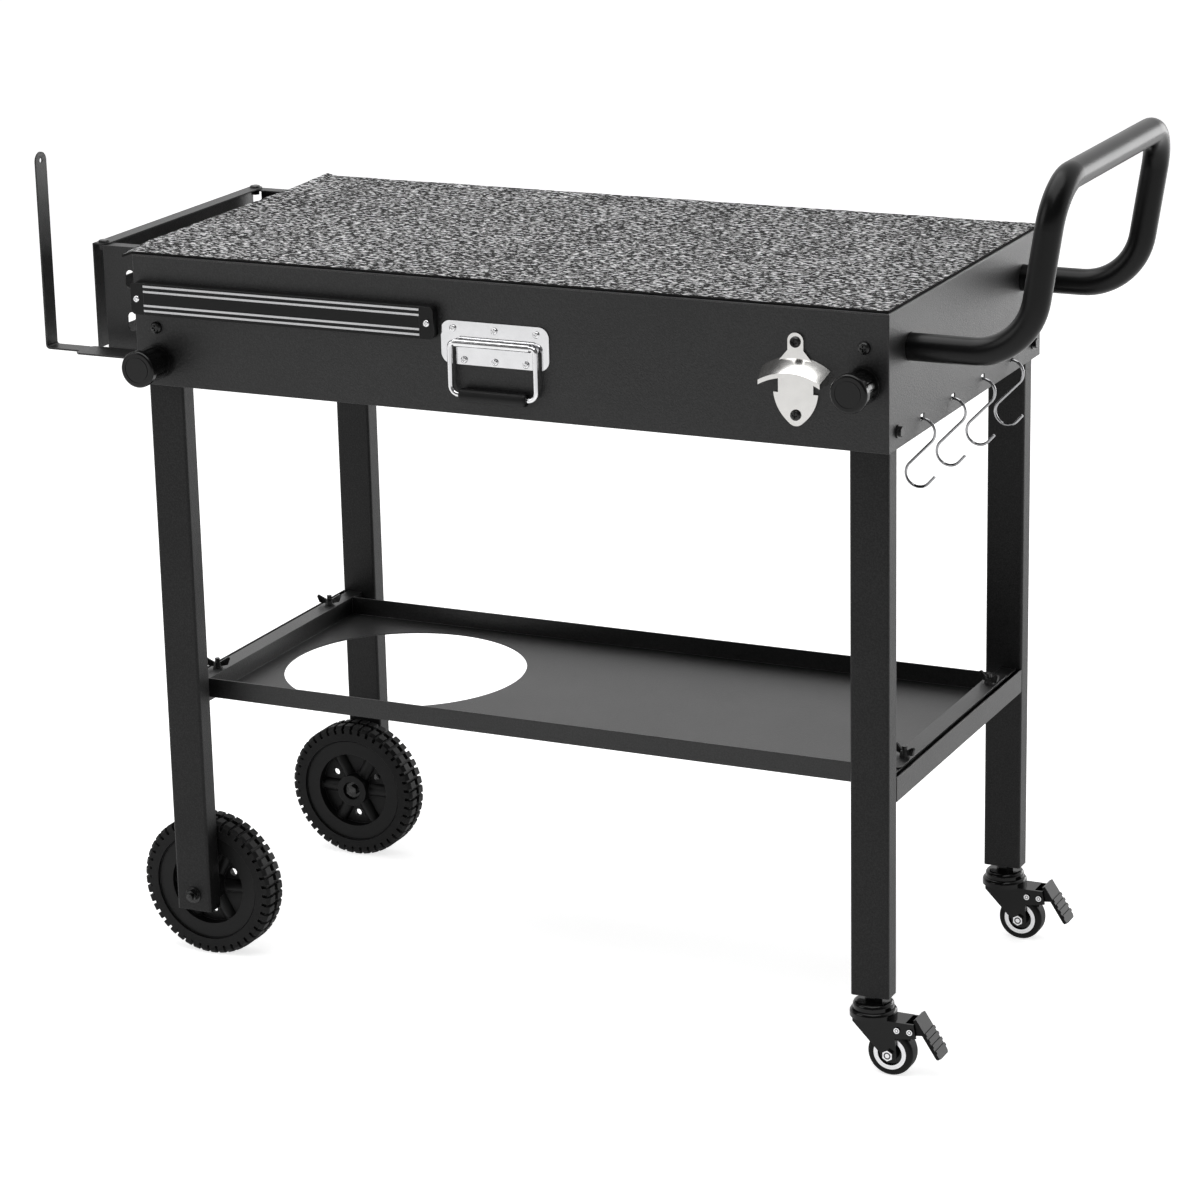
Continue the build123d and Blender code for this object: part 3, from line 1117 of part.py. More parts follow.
def main():
    table_box()
    legs()
    leg_fittings()
    lock_plungers()
    shelf()
    big_wheels()
    casters()
    push_handle()
    knife_bar()
    chest_handle()
    bottle_opener()
    s_hooks()
    bag_frame()
    towel_bar()
    os.makedirs("parts", exist_ok=True)
    for name, piece in PIECES.items():
        export_step(ORIGIN * piece, "parts/%s.step" % name)
    print("%d pieces" % len(PIECES))


main()
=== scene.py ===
"""The looks of a folding grill cart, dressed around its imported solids."""

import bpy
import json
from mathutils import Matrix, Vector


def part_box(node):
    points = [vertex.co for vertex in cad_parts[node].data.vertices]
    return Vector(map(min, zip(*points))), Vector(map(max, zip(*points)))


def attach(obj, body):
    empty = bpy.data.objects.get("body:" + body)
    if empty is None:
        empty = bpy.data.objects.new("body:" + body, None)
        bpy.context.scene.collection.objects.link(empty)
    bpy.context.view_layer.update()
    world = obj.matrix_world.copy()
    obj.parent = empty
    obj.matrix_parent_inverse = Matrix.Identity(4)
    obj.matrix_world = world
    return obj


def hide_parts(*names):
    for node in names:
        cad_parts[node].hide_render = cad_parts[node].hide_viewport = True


bl_info = {
    "name": "Grill Cart Looks",
    "version": (1, 0, 0),
    "blender": (4, 5, 0),
    "location": "View3D > Sidebar > Grill Cart",
    "description": "Finishes, felt mat and studio for a folding grill cart",
    "category": "Object",
}

import json
import math

import bmesh
import bpy
from bpy.props import FloatProperty, FloatVectorProperty, IntProperty, PointerProperty
from mathutils import Matrix, Vector, noise

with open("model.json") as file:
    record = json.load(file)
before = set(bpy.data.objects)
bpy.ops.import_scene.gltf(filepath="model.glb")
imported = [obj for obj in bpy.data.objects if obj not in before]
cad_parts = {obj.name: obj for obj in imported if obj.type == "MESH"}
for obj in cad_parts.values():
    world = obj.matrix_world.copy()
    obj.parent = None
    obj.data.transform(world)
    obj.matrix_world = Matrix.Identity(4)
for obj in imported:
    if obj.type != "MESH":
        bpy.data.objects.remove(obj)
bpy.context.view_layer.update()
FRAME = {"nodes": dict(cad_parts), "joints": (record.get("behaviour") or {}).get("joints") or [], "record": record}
NODES = FRAME["nodes"]
RECORD = FRAME["record"]
JOINTS = {joint["name"]: joint for joint in FRAME["joints"]}
MM = 0.001

# Bright spots on the casters: radii, the pitch of the rivets and where the heads begin
# Radius of the caster core's dish, painted dark as the shade under the fork.
CASTER_SHADED_DISH = 14.2 * MM
AXLE_NUT = 6.6 * MM
RIVET_HEAD = 3.4 * MM
RIVET_PITCH = 15 * MM
CHEEK_OUTSIDE = 14.6 * MM
RING_OUT = 0.62
RING_IN = 0.4

# Felt mat: waves of its noises per metre, their layers and shares, and the runs of its loose corners
RIPPLE_WAVES = (30, 60, 0)
FUZZ_WAVES = (150, 190, 9)
FRAY_WAVES = (90, 90, 4)
RIPPLE_LEVEL = 0.6
FUZZ_SHARE = 0.7
FRAY = 0.7 * MM
FRONT_RUN = 60 * MM
BACK_RUN = 90 * MM
BACK_CURL = 2.5 * MM
SEAT = 0.3 * MM
ON_EDGE = 0.01 * MM

# Studio, in metres: the floor's half width, where the lamps stand, their sizes and what they point at
FLOOR = 40.0
KEY_PLACE = (-0.2, -0.35, 3.3)
KEY_SIZE = (4.0, 2.4)
FILL_PLACE = (-3.0, -2.6, 2.2)
FILL_SIZE = (2.4, 2.4)
SIDE_PLACE = (2.4, 4.2, 0.95)
SIDE_SIZE = (3.2, 1.7)
LAMP_TARGET = (0, 0, 0.6)
WHITE = (1, 1, 1, 1)

# Y directions between which the mirrored room turns into the backdrop
ROOM_END = -0.2
BACKDROP_START = 0.4

# Camera: place in metres, turns in radians, sensor in millimetres
CAMERA_PLACE = (1.8516, -3.91955, 1.75657)
CAMERA_YAW = 0.44274
CAMERA_PITCH = 0.29432
CAMERA_ROLL = -0.021709
CAMERA_SENSOR = 36.0
CAMERA_FAR = 200.0

# Sockets of a Mix node: its factor, then two colours or two values and their result
MIX_FACTOR = 0
MIX_COLOURS = (6, 7)
MIX_COLOUR = 2
MIX_VALUES = (2, 3)
MIX_VALUE = 0
BEVEL_SAMPLES = 4


def nodes_of(*slots):
    """The CAD nodes that wear any of these material slots."""
    return [s["node"] for s in RECORD["subparts"] if s["material_slot"] in slots]


def colour_property(name, description, value):
    """A colour that a user can change."""
    return FloatVectorProperty(name=name, description=description, default=value, subtype="COLOR",
                               min=0.0, max=1.0)


class CartFinishes(bpy.types.PropertyGroup):
    """Colours of the cart's finishes."""
    powder: colour_property("Powder coat", "Sand-textured black on the sheet steel", (0.003, 0.003, 0.0031))
    powder_fleck: colour_property("Powder fleck", "Lighter grains in the powder coat",
                                  (0.014, 0.014, 0.0142))
    # Painted highlight along sharp edges, partly edge wear too: the light edge colour of the powder coats and the
    # black plastics.
    edge_wear_and_highlight: colour_property("Powder edge", "Thin powder coat along sharp edges", (0.13, 0.13, 0.132))
    # Also the painted shade on the felt's side faces.
    felt_dark_and_edge_shade: colour_property("Felt dark", "Darkest fibres of the felt", (0.012, 0.012, 0.012))
    felt_light: colour_property("Felt light", "Lightest fibres of the felt", (0.69, 0.69, 0.695))
    tube: colour_property("Handle tube", "Satin black of the push handle", (0.002, 0.002, 0.0021))
    plastic: colour_property("Black plastic", "Wheels, knife bar and grips", (0.003, 0.003, 0.003))
    gloss: colour_property("Gloss black", "Knobs and caster enamel", (0.003, 0.003, 0.003))
    chrome: colour_property("Chrome", "Chest handle, bright screws and caster rings", (0.80, 0.80, 0.81))
    wire: colour_property("Hook wire", "Bright wire of the hooks", (0.42, 0.42, 0.43))
    nickel: colour_property("Nickel", "Cast bottle opener", (0.76, 0.75, 0.73))
    steel: colour_property("Strip steel", "Strips of the knife bar", (0.62, 0.62, 0.63))
    zinc: colour_property("Black zinc", "Bolts, nuts and screws", (0.07, 0.07, 0.07))


class CartFelt(bpy.types.PropertyGroup):
    """The felt mat's cut and lie."""
    thick: FloatProperty(name="Thickness", description="Felt thickness", default=3 * MM, unit="LENGTH")
    columns: IntProperty(name="Columns", description="Mesh columns along the table", default=264, min=20)
    rows: IntProperty(name="Rows", description="Mesh rows across the table", default=140, min=10)
    ripple: FloatProperty(name="Ripple", description="Height of the felt's surface ripple",
                          default=0.5 * MM, unit="LENGTH")
    droop: FloatProperty(name="Droop", description="Droop of the overhanging front corner",
                         default=5 * MM, unit="LENGTH")


class CartStage(bpy.types.PropertyGroup):
    """Floor, light and camera."""
    floor: colour_property("Floor", "Pale floor", (0.86, 0.86, 0.86))
    glow: FloatProperty(name="Glow", description="White added to the floor where it is seen", default=0.7)
    mirrored: FloatProperty(name="Mirrored", description="Share of the floor's white that finishes mirror",
                            default=0.6)
    ambient: FloatProperty(name="Ambient", description="Strength of the studio's all-round light",
                           default=0.35)
    room: FloatProperty(name="Room", description="Brightness of the room that the front mirrors",
                        default=0.12)
    key: FloatProperty(name="Key", description="Power of the overhead softbox", default=74.0)
    fill: FloatProperty(name="Fill", description="Power of the fill softbox", default=30.0)
    side: FloatProperty(name="Side", description="Power of the softbox beyond the push handle",
                        default=67.0)
    focal: FloatProperty(name="Focal length", description="Camera lens in millimetres", default=117.018)


def finishes():
    """The colours as the user has set them."""
    return bpy.context.scene.cart_finishes


def dulled(colour, share):
    """A share of a colour's brightness."""
    return [channel * share for channel in colour]


class Finish:
    """A node material being put together on Object coordinates."""

    def __init__(self, name, roughness, metallic=0.0):
        self.material = bpy.data.materials.new(name)
        self.material.use_nodes = True
        self.nodes = self.material.node_tree.nodes
        self.links = self.material.node_tree.links
        self.shader = self.nodes["Principled BSDF"]
        self.shader.inputs["Roughness"].default_value = roughness
        self.shader.inputs["Metallic"].default_value = metallic
        self.coords = self.nodes.new("ShaderNodeTexCoord").outputs["Object"]
        self.normal = None

    def shine(self, level):
        """How strongly the surface mirrors."""
        self.shader.inputs["Specular IOR Level"].default_value = level

    def mapped(self, scale, turn=(0, 0, 0)):
        """Object coordinates, scaled and turned."""
        node = self.nodes.new("ShaderNodeMapping")
        node.inputs["Scale"].default_value = scale
        node.inputs["Rotation"].default_value = turn
        self.links.new(self.coords, node.inputs["Vector"])
        return node.outputs["Vector"]

    def noise(self, scale, detail=2.0, rough=0.5, vector=None, distortion=0.0):
        """Smooth noise, with its waves per metre as the scale."""
        node = self.nodes.new("ShaderNodeTexNoise")
        node.inputs["Scale"].default_value = scale
        node.inputs["Detail"].default_value = detail
        node.inputs["Roughness"].default_value = rough
        node.inputs["Distortion"].default_value = distortion
        self.links.new(vector or self.coords, node.inputs["Vector"])
        return node.outputs["Fac"]

    def edges(self, radius):
        """Round sharp edges in the shading, and give a mask of where they are."""
        node = self.nodes.new("ShaderNodeBevel")
        node.samples = BEVEL_SAMPLES
        node.inputs["Radius"].default_value = radius
        self.normal = node.outputs["Normal"]
        flat = self.nodes.new("ShaderNodeNewGeometry").outputs["Normal"]
        likeness = self.nodes.new("ShaderNodeVectorMath")
        likeness.operation = "DOT_PRODUCT"
        self.links.new(self.normal, likeness.inputs[0])
        self.links.new(flat, likeness.inputs[1])
        return self.math("SUBTRACT", 1.0, likeness.outputs["Value"])

    def mix(self, factor, under, over):
        """One colour over another, where the factor says."""
        node = self.nodes.new("ShaderNodeMix")
        node.data_type = "RGBA"
        node.clamp_factor = True
        first, second = MIX_COLOURS
        self.links.new(factor, node.inputs[MIX_FACTOR])
        self.links.new(under, node.inputs[first])
        node.inputs[second].default_value = (*over, 1)
        return node.outputs[MIX_COLOUR]

    def ramp(self, value, low, high, dark, light):
        """A colour between dark and light, as the value goes from low to high."""
        node = self.nodes.new("ShaderNodeValToRGB")
        node.color_ramp.elements[0].position = low
        node.color_ramp.elements[1].position = high
        node.color_ramp.elements[0].color = (*dark, 1)
        node.color_ramp.elements[1].color = (*light, 1)
        self.links.new(value, node.inputs["Fac"])
        return node.outputs["Color"]

    def spread(self, value, low, high):
        """A value from zero to one, spread between two others."""
        node = self.nodes.new("ShaderNodeMapRange")
        node.inputs["To Min"].default_value = low
        node.inputs["To Max"].default_value = high
        self.links.new(value, node.inputs["Value"])
        return node.outputs["Result"]

    def math(self, operation, a, b):
        """One sum of two values, either of which may be a number."""
        node = self.nodes.new("ShaderNodeMath")
        node.operation = operation
        for socket, value in zip(node.inputs, (a, b)):
            if isinstance(value, (int, float)):
                socket.default_value = value
            else:
                self.links.new(value, socket)
        return node.outputs["Value"]

    def blend(self, main, rest, share):
        """A share of one value, and the rest of another."""
        return self.math("ADD", self.math("MULTIPLY", main, share), self.math("MULTIPLY", rest, 1 - share))

    def distance(self, a, b):
        """How far two values are apart."""
        return self.math("ABSOLUTE", self.math("SUBTRACT", a, b), 0.0)

    def axis(self, name):
        """One Object coordinate."""
        node = self.nodes.new("ShaderNodeSeparateXYZ")
        self.links.new(self.coords, node.inputs["Vector"])
        return node.outputs[name]

    def facing(self, name):
        """One component of the surface's true normal."""
        node = self.nodes.new("ShaderNodeSeparateXYZ")
        normal = self.nodes.new("ShaderNodeNewGeometry").outputs["True Normal"]
        self.links.new(normal, node.inputs["Vector"])
        return node.outputs[name]

    def shine_upward(self, low, high):
        """Mirror more on faces that look up."""
        level = self.spread(self.facing("Z"), low, high)
        self.links.new(level, self.shader.inputs["Specular IOR Level"])

    def near(self, centre, radius):
        """One within a radius of the line through a point along Y, zero elsewhere."""
        across = self.math("SUBTRACT", self.axis("X"), centre[0])
        above = self.math("SUBTRACT", self.axis("Z"), centre[2])
        across_square = self.math("MULTIPLY", across, across)
        above_square = self.math("MULTIPLY", above, above)
        square = self.math("ADD", across_square, above_square)
        return self.math("LESS_THAN", square, radius * radius)

    def ringed(self, centre, radius):
        """A round spot about a line along Y with a dark ring inside it."""
        outer = self.near(centre, RING_OUT * radius)
        inner = self.near(centre, RING_IN * radius)
        return self.math("SUBTRACT", self.near(centre, radius), self.math("SUBTRACT", outer, inner))

    def brighten(self, mask, colour):
        """Turn the masked places to bright metal."""
        paint = self.shader.inputs["Base Color"].links[0].from_socket
        self.colour(self.mix(mask, paint, colour))
        self.links.new(mask, self.shader.inputs["Metallic"])

    def colour(self, value):
        """Paint the surface with a colour from other nodes."""
        self.links.new(value, self.shader.inputs["Base Color"])

    def roughness(self, value):
        """Roughen the surface by a value from other nodes."""
        self.links.new(value, self.shader.inputs["Roughness"])

    def bump(self, height, strength, distance):
        """Fine relief on top of the rounded edges."""
        node = self.nodes.new("ShaderNodeBump")
        node.inputs["Strength"].default_value = strength
        node.inputs["Distance"].default_value = distance
        self.links.new(height, node.inputs["Height"])
        if self.normal:
            self.links.new(self.normal, node.inputs["Normal"])
        self.links.new(node.outputs["Normal"], self.shader.inputs["Normal"])

    def wear(self, *names):
        """Dress CAD nodes in this finish."""
        for name in names:
            dress(NODES[name], self.material)


def dress(piece, material):
    """Give a piece one material."""
    piece.data.materials.clear()
    piece.data.materials.append(material)


def powder_finish(name, shine):
    """A fine sand-textured powder coat, lightened along its sharp edges by a painted highlight that also stands
    for the coat wearing thin there.
    """
    look = finishes()
    coat = Finish(name, roughness=0.4)
    coat.shine(shine)
    grain = coat.noise(scale=620.0, rough=0.6)
    cloud = coat.noise(scale=9.0, detail=3.0, rough=0.55)
    tone = coat.blend(grain, cloud, share=0.75)
    # Painted highlight along sharp edges, partly edge wear: the bevel mask, patchy by the cloud, mixes in the
    # light edge colour.
    edge_wear_and_highlight_mask = coat.math("MULTIPLY", coat.edges(radius=0.9 * MM), coat.spread(cloud, low=1.0, high=3.0))
    paint = coat.ramp(tone, low=0.42, high=0.66, dark=look.powder, light=look.powder_fleck)
    coat.colour(coat.mix(edge_wear_and_highlight_mask, paint, look.edge_wear_and_highlight))
    coat.roughness(coat.spread(cloud, low=0.36, high=0.44))
    coat.bump(grain, strength=0.9, distance=0.4 * MM)
    return coat


def tube_finish():
    """Satin black paint with a slight orange peel."""
    look = finishes()
    coat = Finish("satin_tube_paint", roughness=0.3)
    coat.shine(0.22)
    orange_peel = coat.noise(scale=260.0)
    cloud = coat.noise(scale=14.0, detail=3.0)
    coat.colour(coat.ramp(cloud, low=0.3, high=0.75, dark=look.tube, light=look.powder))
    coat.roughness(coat.spread(cloud, low=0.26, high=0.34))
    coat.bump(orange_peel, strength=0.08, distance=0.4 * MM)
    return coat


def plastic_finish(name, roughness, grain_size, grain_depth):
    """Moulded black plastic or rubber with a fine grain, lightened along its edges by a painted highlight that
    also stands for edge wear.
    """
    look = finishes()
    skin = Finish(name, roughness)
    skin.shine(0.25)
    grain = skin.noise(scale=grain_size)
    cloud = skin.noise(scale=22.0, detail=3.0)
    # Painted highlight along the edges, partly edge wear, in the light edge colour.
    edge_wear_and_highlight_mask = skin.math("MULTIPLY", skin.edges(radius=0.8 * MM), skin.spread(cloud, low=0.5, high=2.0))
    paint = skin.ramp(cloud, low=0.3, high=0.75, dark=look.plastic, light=look.powder)
    skin.colour(skin.mix(edge_wear_and_highlight_mask, paint, look.edge_wear_and_highlight))
    skin.roughness(skin.spread(cloud, low=roughness - 0.05, high=roughness + 0.07))
    skin.bump(grain, strength=grain_depth, distance=0.3 * MM)
    return skin


def gloss_finish(name, roughness, shine):
    """Glossy black under a thin clear coat."""
    look = finishes()
    skin = Finish(name, roughness)
    skin.shine(shine)
    cloud = skin.noise(scale=40.0, detail=3.0)
    skin.colour(skin.ramp(cloud, low=0.3, high=0.75, dark=look.gloss, light=look.plastic))
    skin.roughness(skin.spread(cloud, low=roughness - 0.04, high=roughness + 0.06))
    skin.shader.inputs["Coat Weight"].default_value = 0.2
    skin.shader.inputs["Coat Roughness"].default_value = 0.08
    return skin


def caster_core_finish():
    """A bright plated ring round a dish painted dark as the shade under the fork."""
    look = finishes()
    ring = gloss_finish("caster_core", roughness=0.25, shine=0.2)
    # Painted shade: the dish inside the ring stays dark gloss black.
    shaded_dish = ring.near(JOINTS["front_caster_spin"]["pos_m"], CASTER_SHADED_DISH)
    bright = ring.math("SUBTRACT", 1.0, shaded_dish)
    ring.brighten(bright, look.chrome)
    return ring


def caster_enamel():
    """Gloss enamel on the forks, with bright axle nuts and rivet heads outside the cheeks."""
    look = finishes()
    enamel = gloss_finish("caster_enamel", roughness=0.14, shine=0.16)
    axle = Vector(JOINTS["front_caster_spin"]["pos_m"])
    far_rivet = Vector(JOINTS["front_brake_press"]["pos_m"])
    near_rivet = far_rivet - Vector((RIVET_PITCH, 0, 0))
    spots = enamel.ringed(axle, AXLE_NUT)
    for rivet in (near_rivet, far_rivet):
        spots = enamel.math("MAXIMUM", spots, enamel.ringed(rivet, RIVET_HEAD))
    middle = (axle.y + JOINTS["back_caster_spin"]["pos_m"][1]) / 2
    from_middle = enamel.distance(enamel.axis("Y"), middle)
    from_caster = enamel.distance(from_middle, middle - axle.y)
    outside = enamel.math("GREATER_THAN", from_caster, CHEEK_OUTSIDE)
    enamel.brighten(enamel.math("MULTIPLY", spots, outside), look.chrome)
    return enamel


def metal_finish(name, colour, low, high, grain):
    """Bright metal with a faint cloud in its polish."""
    skin = Finish(name, roughness=(low + high) / 2, metallic=1.0)
    cloud = skin.noise(scale=grain, detail=4.0)
    skin.colour(skin.ramp(cloud, low=0.25, high=0.8, dark=dulled(colour, share=0.9), light=colour))
    skin.roughness(skin.spread(cloud, low, high))
    skin.bump(cloud, strength=0.02, distance=0.2 * MM)
    return skin


def drawn_steel_finish():
    """Drawn strip steel with fine lines along the bar."""
    look = finishes()
    skin = Finish("drawn_strip_steel", roughness=0.28, metallic=1.0)
    lines = skin.noise(scale=1.0, detail=3.0, vector=skin.mapped(scale=(6.0, 900.0, 900.0)))
    skin.colour(skin.ramp(lines, low=0.25, high=0.8, dark=dulled(look.steel, share=0.8), light=look.steel))
    skin.roughness(skin.spread(lines, low=0.2, high=0.36))
    skin.bump(lines, strength=0.06, distance=0.1 * MM)
    return skin


def zinc_finish():
    """Black zinc on bolts, nuts and screws."""
    look = finishes()
    skin = Finish("black_zinc", roughness=0.28, metallic=0.7)
    cloud = skin.noise(scale=120.0, detail=3.0)
    skin.colour(skin.ramp(cloud, low=0.3, high=0.75, dark=look.gloss, light=look.zinc))
    skin.roughness(skin.spread(cloud, low=0.2, high=0.34))
    return skin


def felt_finish():
    """Mottled felt: light fibres in two slightly crossed directions, and its side faces painted dark as shade
    along the cut edges.
    """
    look = finishes()
    felt = Finish("mottled_felt", roughness=0.95)
    along = felt.mapped(scale=(125.0, 320.0, 60.0), turn=(0, 0, -0.1))
    askew = felt.mapped(scale=(145.0, 285.0, 60.0), turn=(0, 0, 0.22))
    long_fibres = felt.noise(scale=1.0, vector=along, distortion=0.4)
    cross_fibres = felt.noise(scale=1.0, vector=askew, distortion=0.4)
    cloud = felt.noise(scale=14.0, detail=4.0, rough=0.6)
    fibres = felt.math("MAXIMUM", long_fibres, cross_fibres)
    # Painted shade: faces that don't look up, the mat's cut edges, get the darkest felt colour.
    unshaded_top = felt.math("GREATER_THAN", felt.facing("Z"), 0.5)
    tone = felt.math("MULTIPLY", felt.blend(fibres, cloud, share=0.93), unshaded_top)
    felt.colour(felt.ramp(tone, low=0.56, high=0.62, dark=look.felt_dark_and_edge_shade, light=look.felt_light))
    felt.bump(fibres, strength=0.9, distance=1.5 * MM)
    felt.shader.inputs["Sheen Weight"].default_value = 0.02
    felt.shader.inputs["Sheen Roughness"].default_value = 0.6
    felt.shine(0.15)
    return felt


def new_piece(name, mesh_maker, body, material):
    """Link a finished bmesh as a piece that rides on a body."""
    mesh = bpy.data.meshes.new(name)
    mesh_maker.to_mesh(mesh)
    mesh_maker.free()
    piece = bpy.data.objects.new(name, mesh)
    bpy.context.scene.collection.objects.link(piece)
    dress(piece, material)
    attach(piece, body)
    return piece


class CART_OT_sheet_steel(bpy.types.Operator):
    """Finish the powder-coated sheets, legs and straps"""
    bl_idname = "cart.sheet_steel"
    bl_label = "Sheet steel"

    def execute(self, context):
        names = nodes_of("powder_black")
        legs = [name for name in names if name.endswith("_leg")]
        trays = [name for name in names if name == "shelf_tray"]
        sheets = [name for name in names if name not in legs + trays]
        powder_finish("sand_powder_coat", shine=0.5).wear(*sheets)
        powder_finish("leg_powder_coat", shine=0.25).wear(*legs)
        tray_coat = powder_finish("tray_powder_coat", shine=0.5)
        tray_coat.shine_upward(low=0.5, high=0.95)
        tray_coat.wear(*trays)
        return {"FINISHED"}


class CART_OT_handle_tube(bpy.types.Operator):
    """Finish the push handle"""
    bl_idname = "cart.handle_tube"
    bl_label = "Push handle"

    def execute(self, context):
        tube_finish().wear(*nodes_of("satin_black_tube"))
        return {"FINISHED"}


class CART_OT_bright_work(bpy.types.Operator):
    """Finish the chrome, nickel and bright steel pieces"""
    bl_idname = "cart.bright_work"
    bl_label = "Bright work"

    def execute(self, context):
        look = finishes()
        names = nodes_of("chrome")
        hooks = [name for name in names if name.startswith("s_hook")]
        plated = [name for name in names if name not in hooks]
        chrome = metal_finish("polished_chrome", look.chrome, low=0.05, high=0.12, grain=60.0)
        wire = metal_finish("hook_wire", look.wire, low=0.1, high=0.2, grain=60.0)
        nickel = metal_finish("bright_nickel", look.nickel, low=0.12, high=0.22, grain=90.0)
        chrome.wear(*plated)
        wire.wear(*hooks)
        nickel.wear(*nodes_of("bright_nickel"))
        drawn_steel_finish().wear(*nodes_of("bright_strip"))
        caster_core_finish().wear(*nodes_of("caster_core"))
        return {"FINISHED"}


class CART_OT_plastics(bpy.types.Operator):
    """Finish the wheels, knife bar, knobs and casters"""
    bl_idname = "cart.plastics"
    bl_label = "Plastics and enamel"

    def execute(self, context):
        wheel = plastic_finish("moulded_wheel", roughness=0.5, grain_size=900.0, grain_depth=0.12)
        tread = plastic_finish("tread_rubber", roughness=0.6, grain_size=1100.0, grain_depth=0.2)
        bar = plastic_finish("bar_plastic", roughness=0.42, grain_size=1200.0, grain_depth=0.08)
        wheel.wear(*nodes_of("wheel_plastic"))
        tread.wear(*nodes_of("wheel_rubber", "caster_rubber"))
        bar.wear(*nodes_of("bar_plastic", "grip_plastic"))
        gloss_finish("gloss_knob", roughness=0.22, shine=0.2).wear(*nodes_of("knob_gloss"))
        names = nodes_of("caster_black")
        pedals = [name for name in names if name.endswith("_pedal")]
        forks = [name for name in names if name not in pedals]
        caster_enamel().wear(*forks)
        gloss_finish("pedal_enamel", roughness=0.4, shine=0.03).wear(*pedals)
        return {"FINISHED"}


class CART_OT_fasteners(bpy.types.Operator):
    """Finish the black bolts, nuts and screws"""
    bl_idname = "cart.fasteners"
    bl_label = "Fasteners"

    def execute(self, context):
        zinc_finish().wear(*nodes_of("black_zinc"))
        return {"FINISHED"}


def waver(place, waves):
    """Smooth noise over the mat, from its waves per metre along and across and its layer."""
    along, across, layer = waves
    return noise.noise(Vector((place.x * along, place.y * across, layer)))


def inward(place, middle, span):
    """Unit steps in from the mat's edges, for a point on one of them."""
    step = Vector((0, 0, 0))
    for side in range(2):
        offset = middle[side] - place[side]
        if abs(offset) > span[side] / 2 - ON_EDGE:
            step[side] = math.copysign(1, offset)
    return step


class CART_OT_felt_mat(bpy.types.Operator):
    """Lay the felt mat on the table, its overhang drooping in front and curling up behind"""
    bl_idname = "cart.felt_mat"
    bl_label = "Felt mat"

    def execute(self, context):
        size = context.scene.cart_felt
        low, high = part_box("felt_mat")
        table_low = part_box("top_sheet")[0]
        span = high - low
        middle = (low + high) / 2
        bm = bmesh.new()
        bmesh.ops.create_grid(bm, x_segments=size.columns, y_segments=size.rows, size=0.5)
        bmesh.ops.scale(bm, vec=(span.x, span.y, 1), verts=bm.verts)
        bmesh.ops.translate(bm, vec=(middle.x, middle.y, low.z), verts=bm.verts)
        for v in bm.verts:
            loose = max(0.0, (table_low.x - v.co.x) / (table_low.x - low.x))
            front = max(0.0, 1 - (v.co.y - low.y) / FRONT_RUN)
            back = max(0.0, 1 - (high.y - v.co.y) / BACK_RUN)
            sag = loose * (back * BACK_CURL - front * size.droop)
            lift = self.ripple(v.co) * size.ripple
            v.co.z += lift + sag if loose else max(lift, 0.0)
            v.co += inward(v.co, middle, span) * abs(waver(v.co, FRAY_WAVES) * FRAY)
        mat = new_piece("felt_mat_cloth", bm, "cart", felt_finish().material)
        wall = mat.modifiers.new("Thickness", "SOLIDIFY")
        wall.thickness = size.thick - SEAT
        wall.offset = 1.0
        for face in mat.data.polygons:
            face.use_smooth = True
        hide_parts("felt_mat")
        return {"FINISHED"}

    def ripple(self, place):
        """The mat's ripple at a place, with a finer fuzz on it."""
        return waver(place, RIPPLE_WAVES) + RIPPLE_LEVEL + FUZZ_SHARE * waver(place, FUZZ_WAVES)


def seen_rays(tree, *names):
    """One for rays of these kinds, zero for the rest."""
    path = tree.nodes.new("ShaderNodeLightPath")
    value = path.outputs[names[0]]
    for name in names[1:]:
        either = tree.nodes.new("ShaderNodeMath")
        either.operation = "MAXIMUM"
        tree.links.new(value, either.inputs[0])
        tree.links.new(path.outputs[name], either.inputs[1])
        value = either.outputs["Value"]
    return value


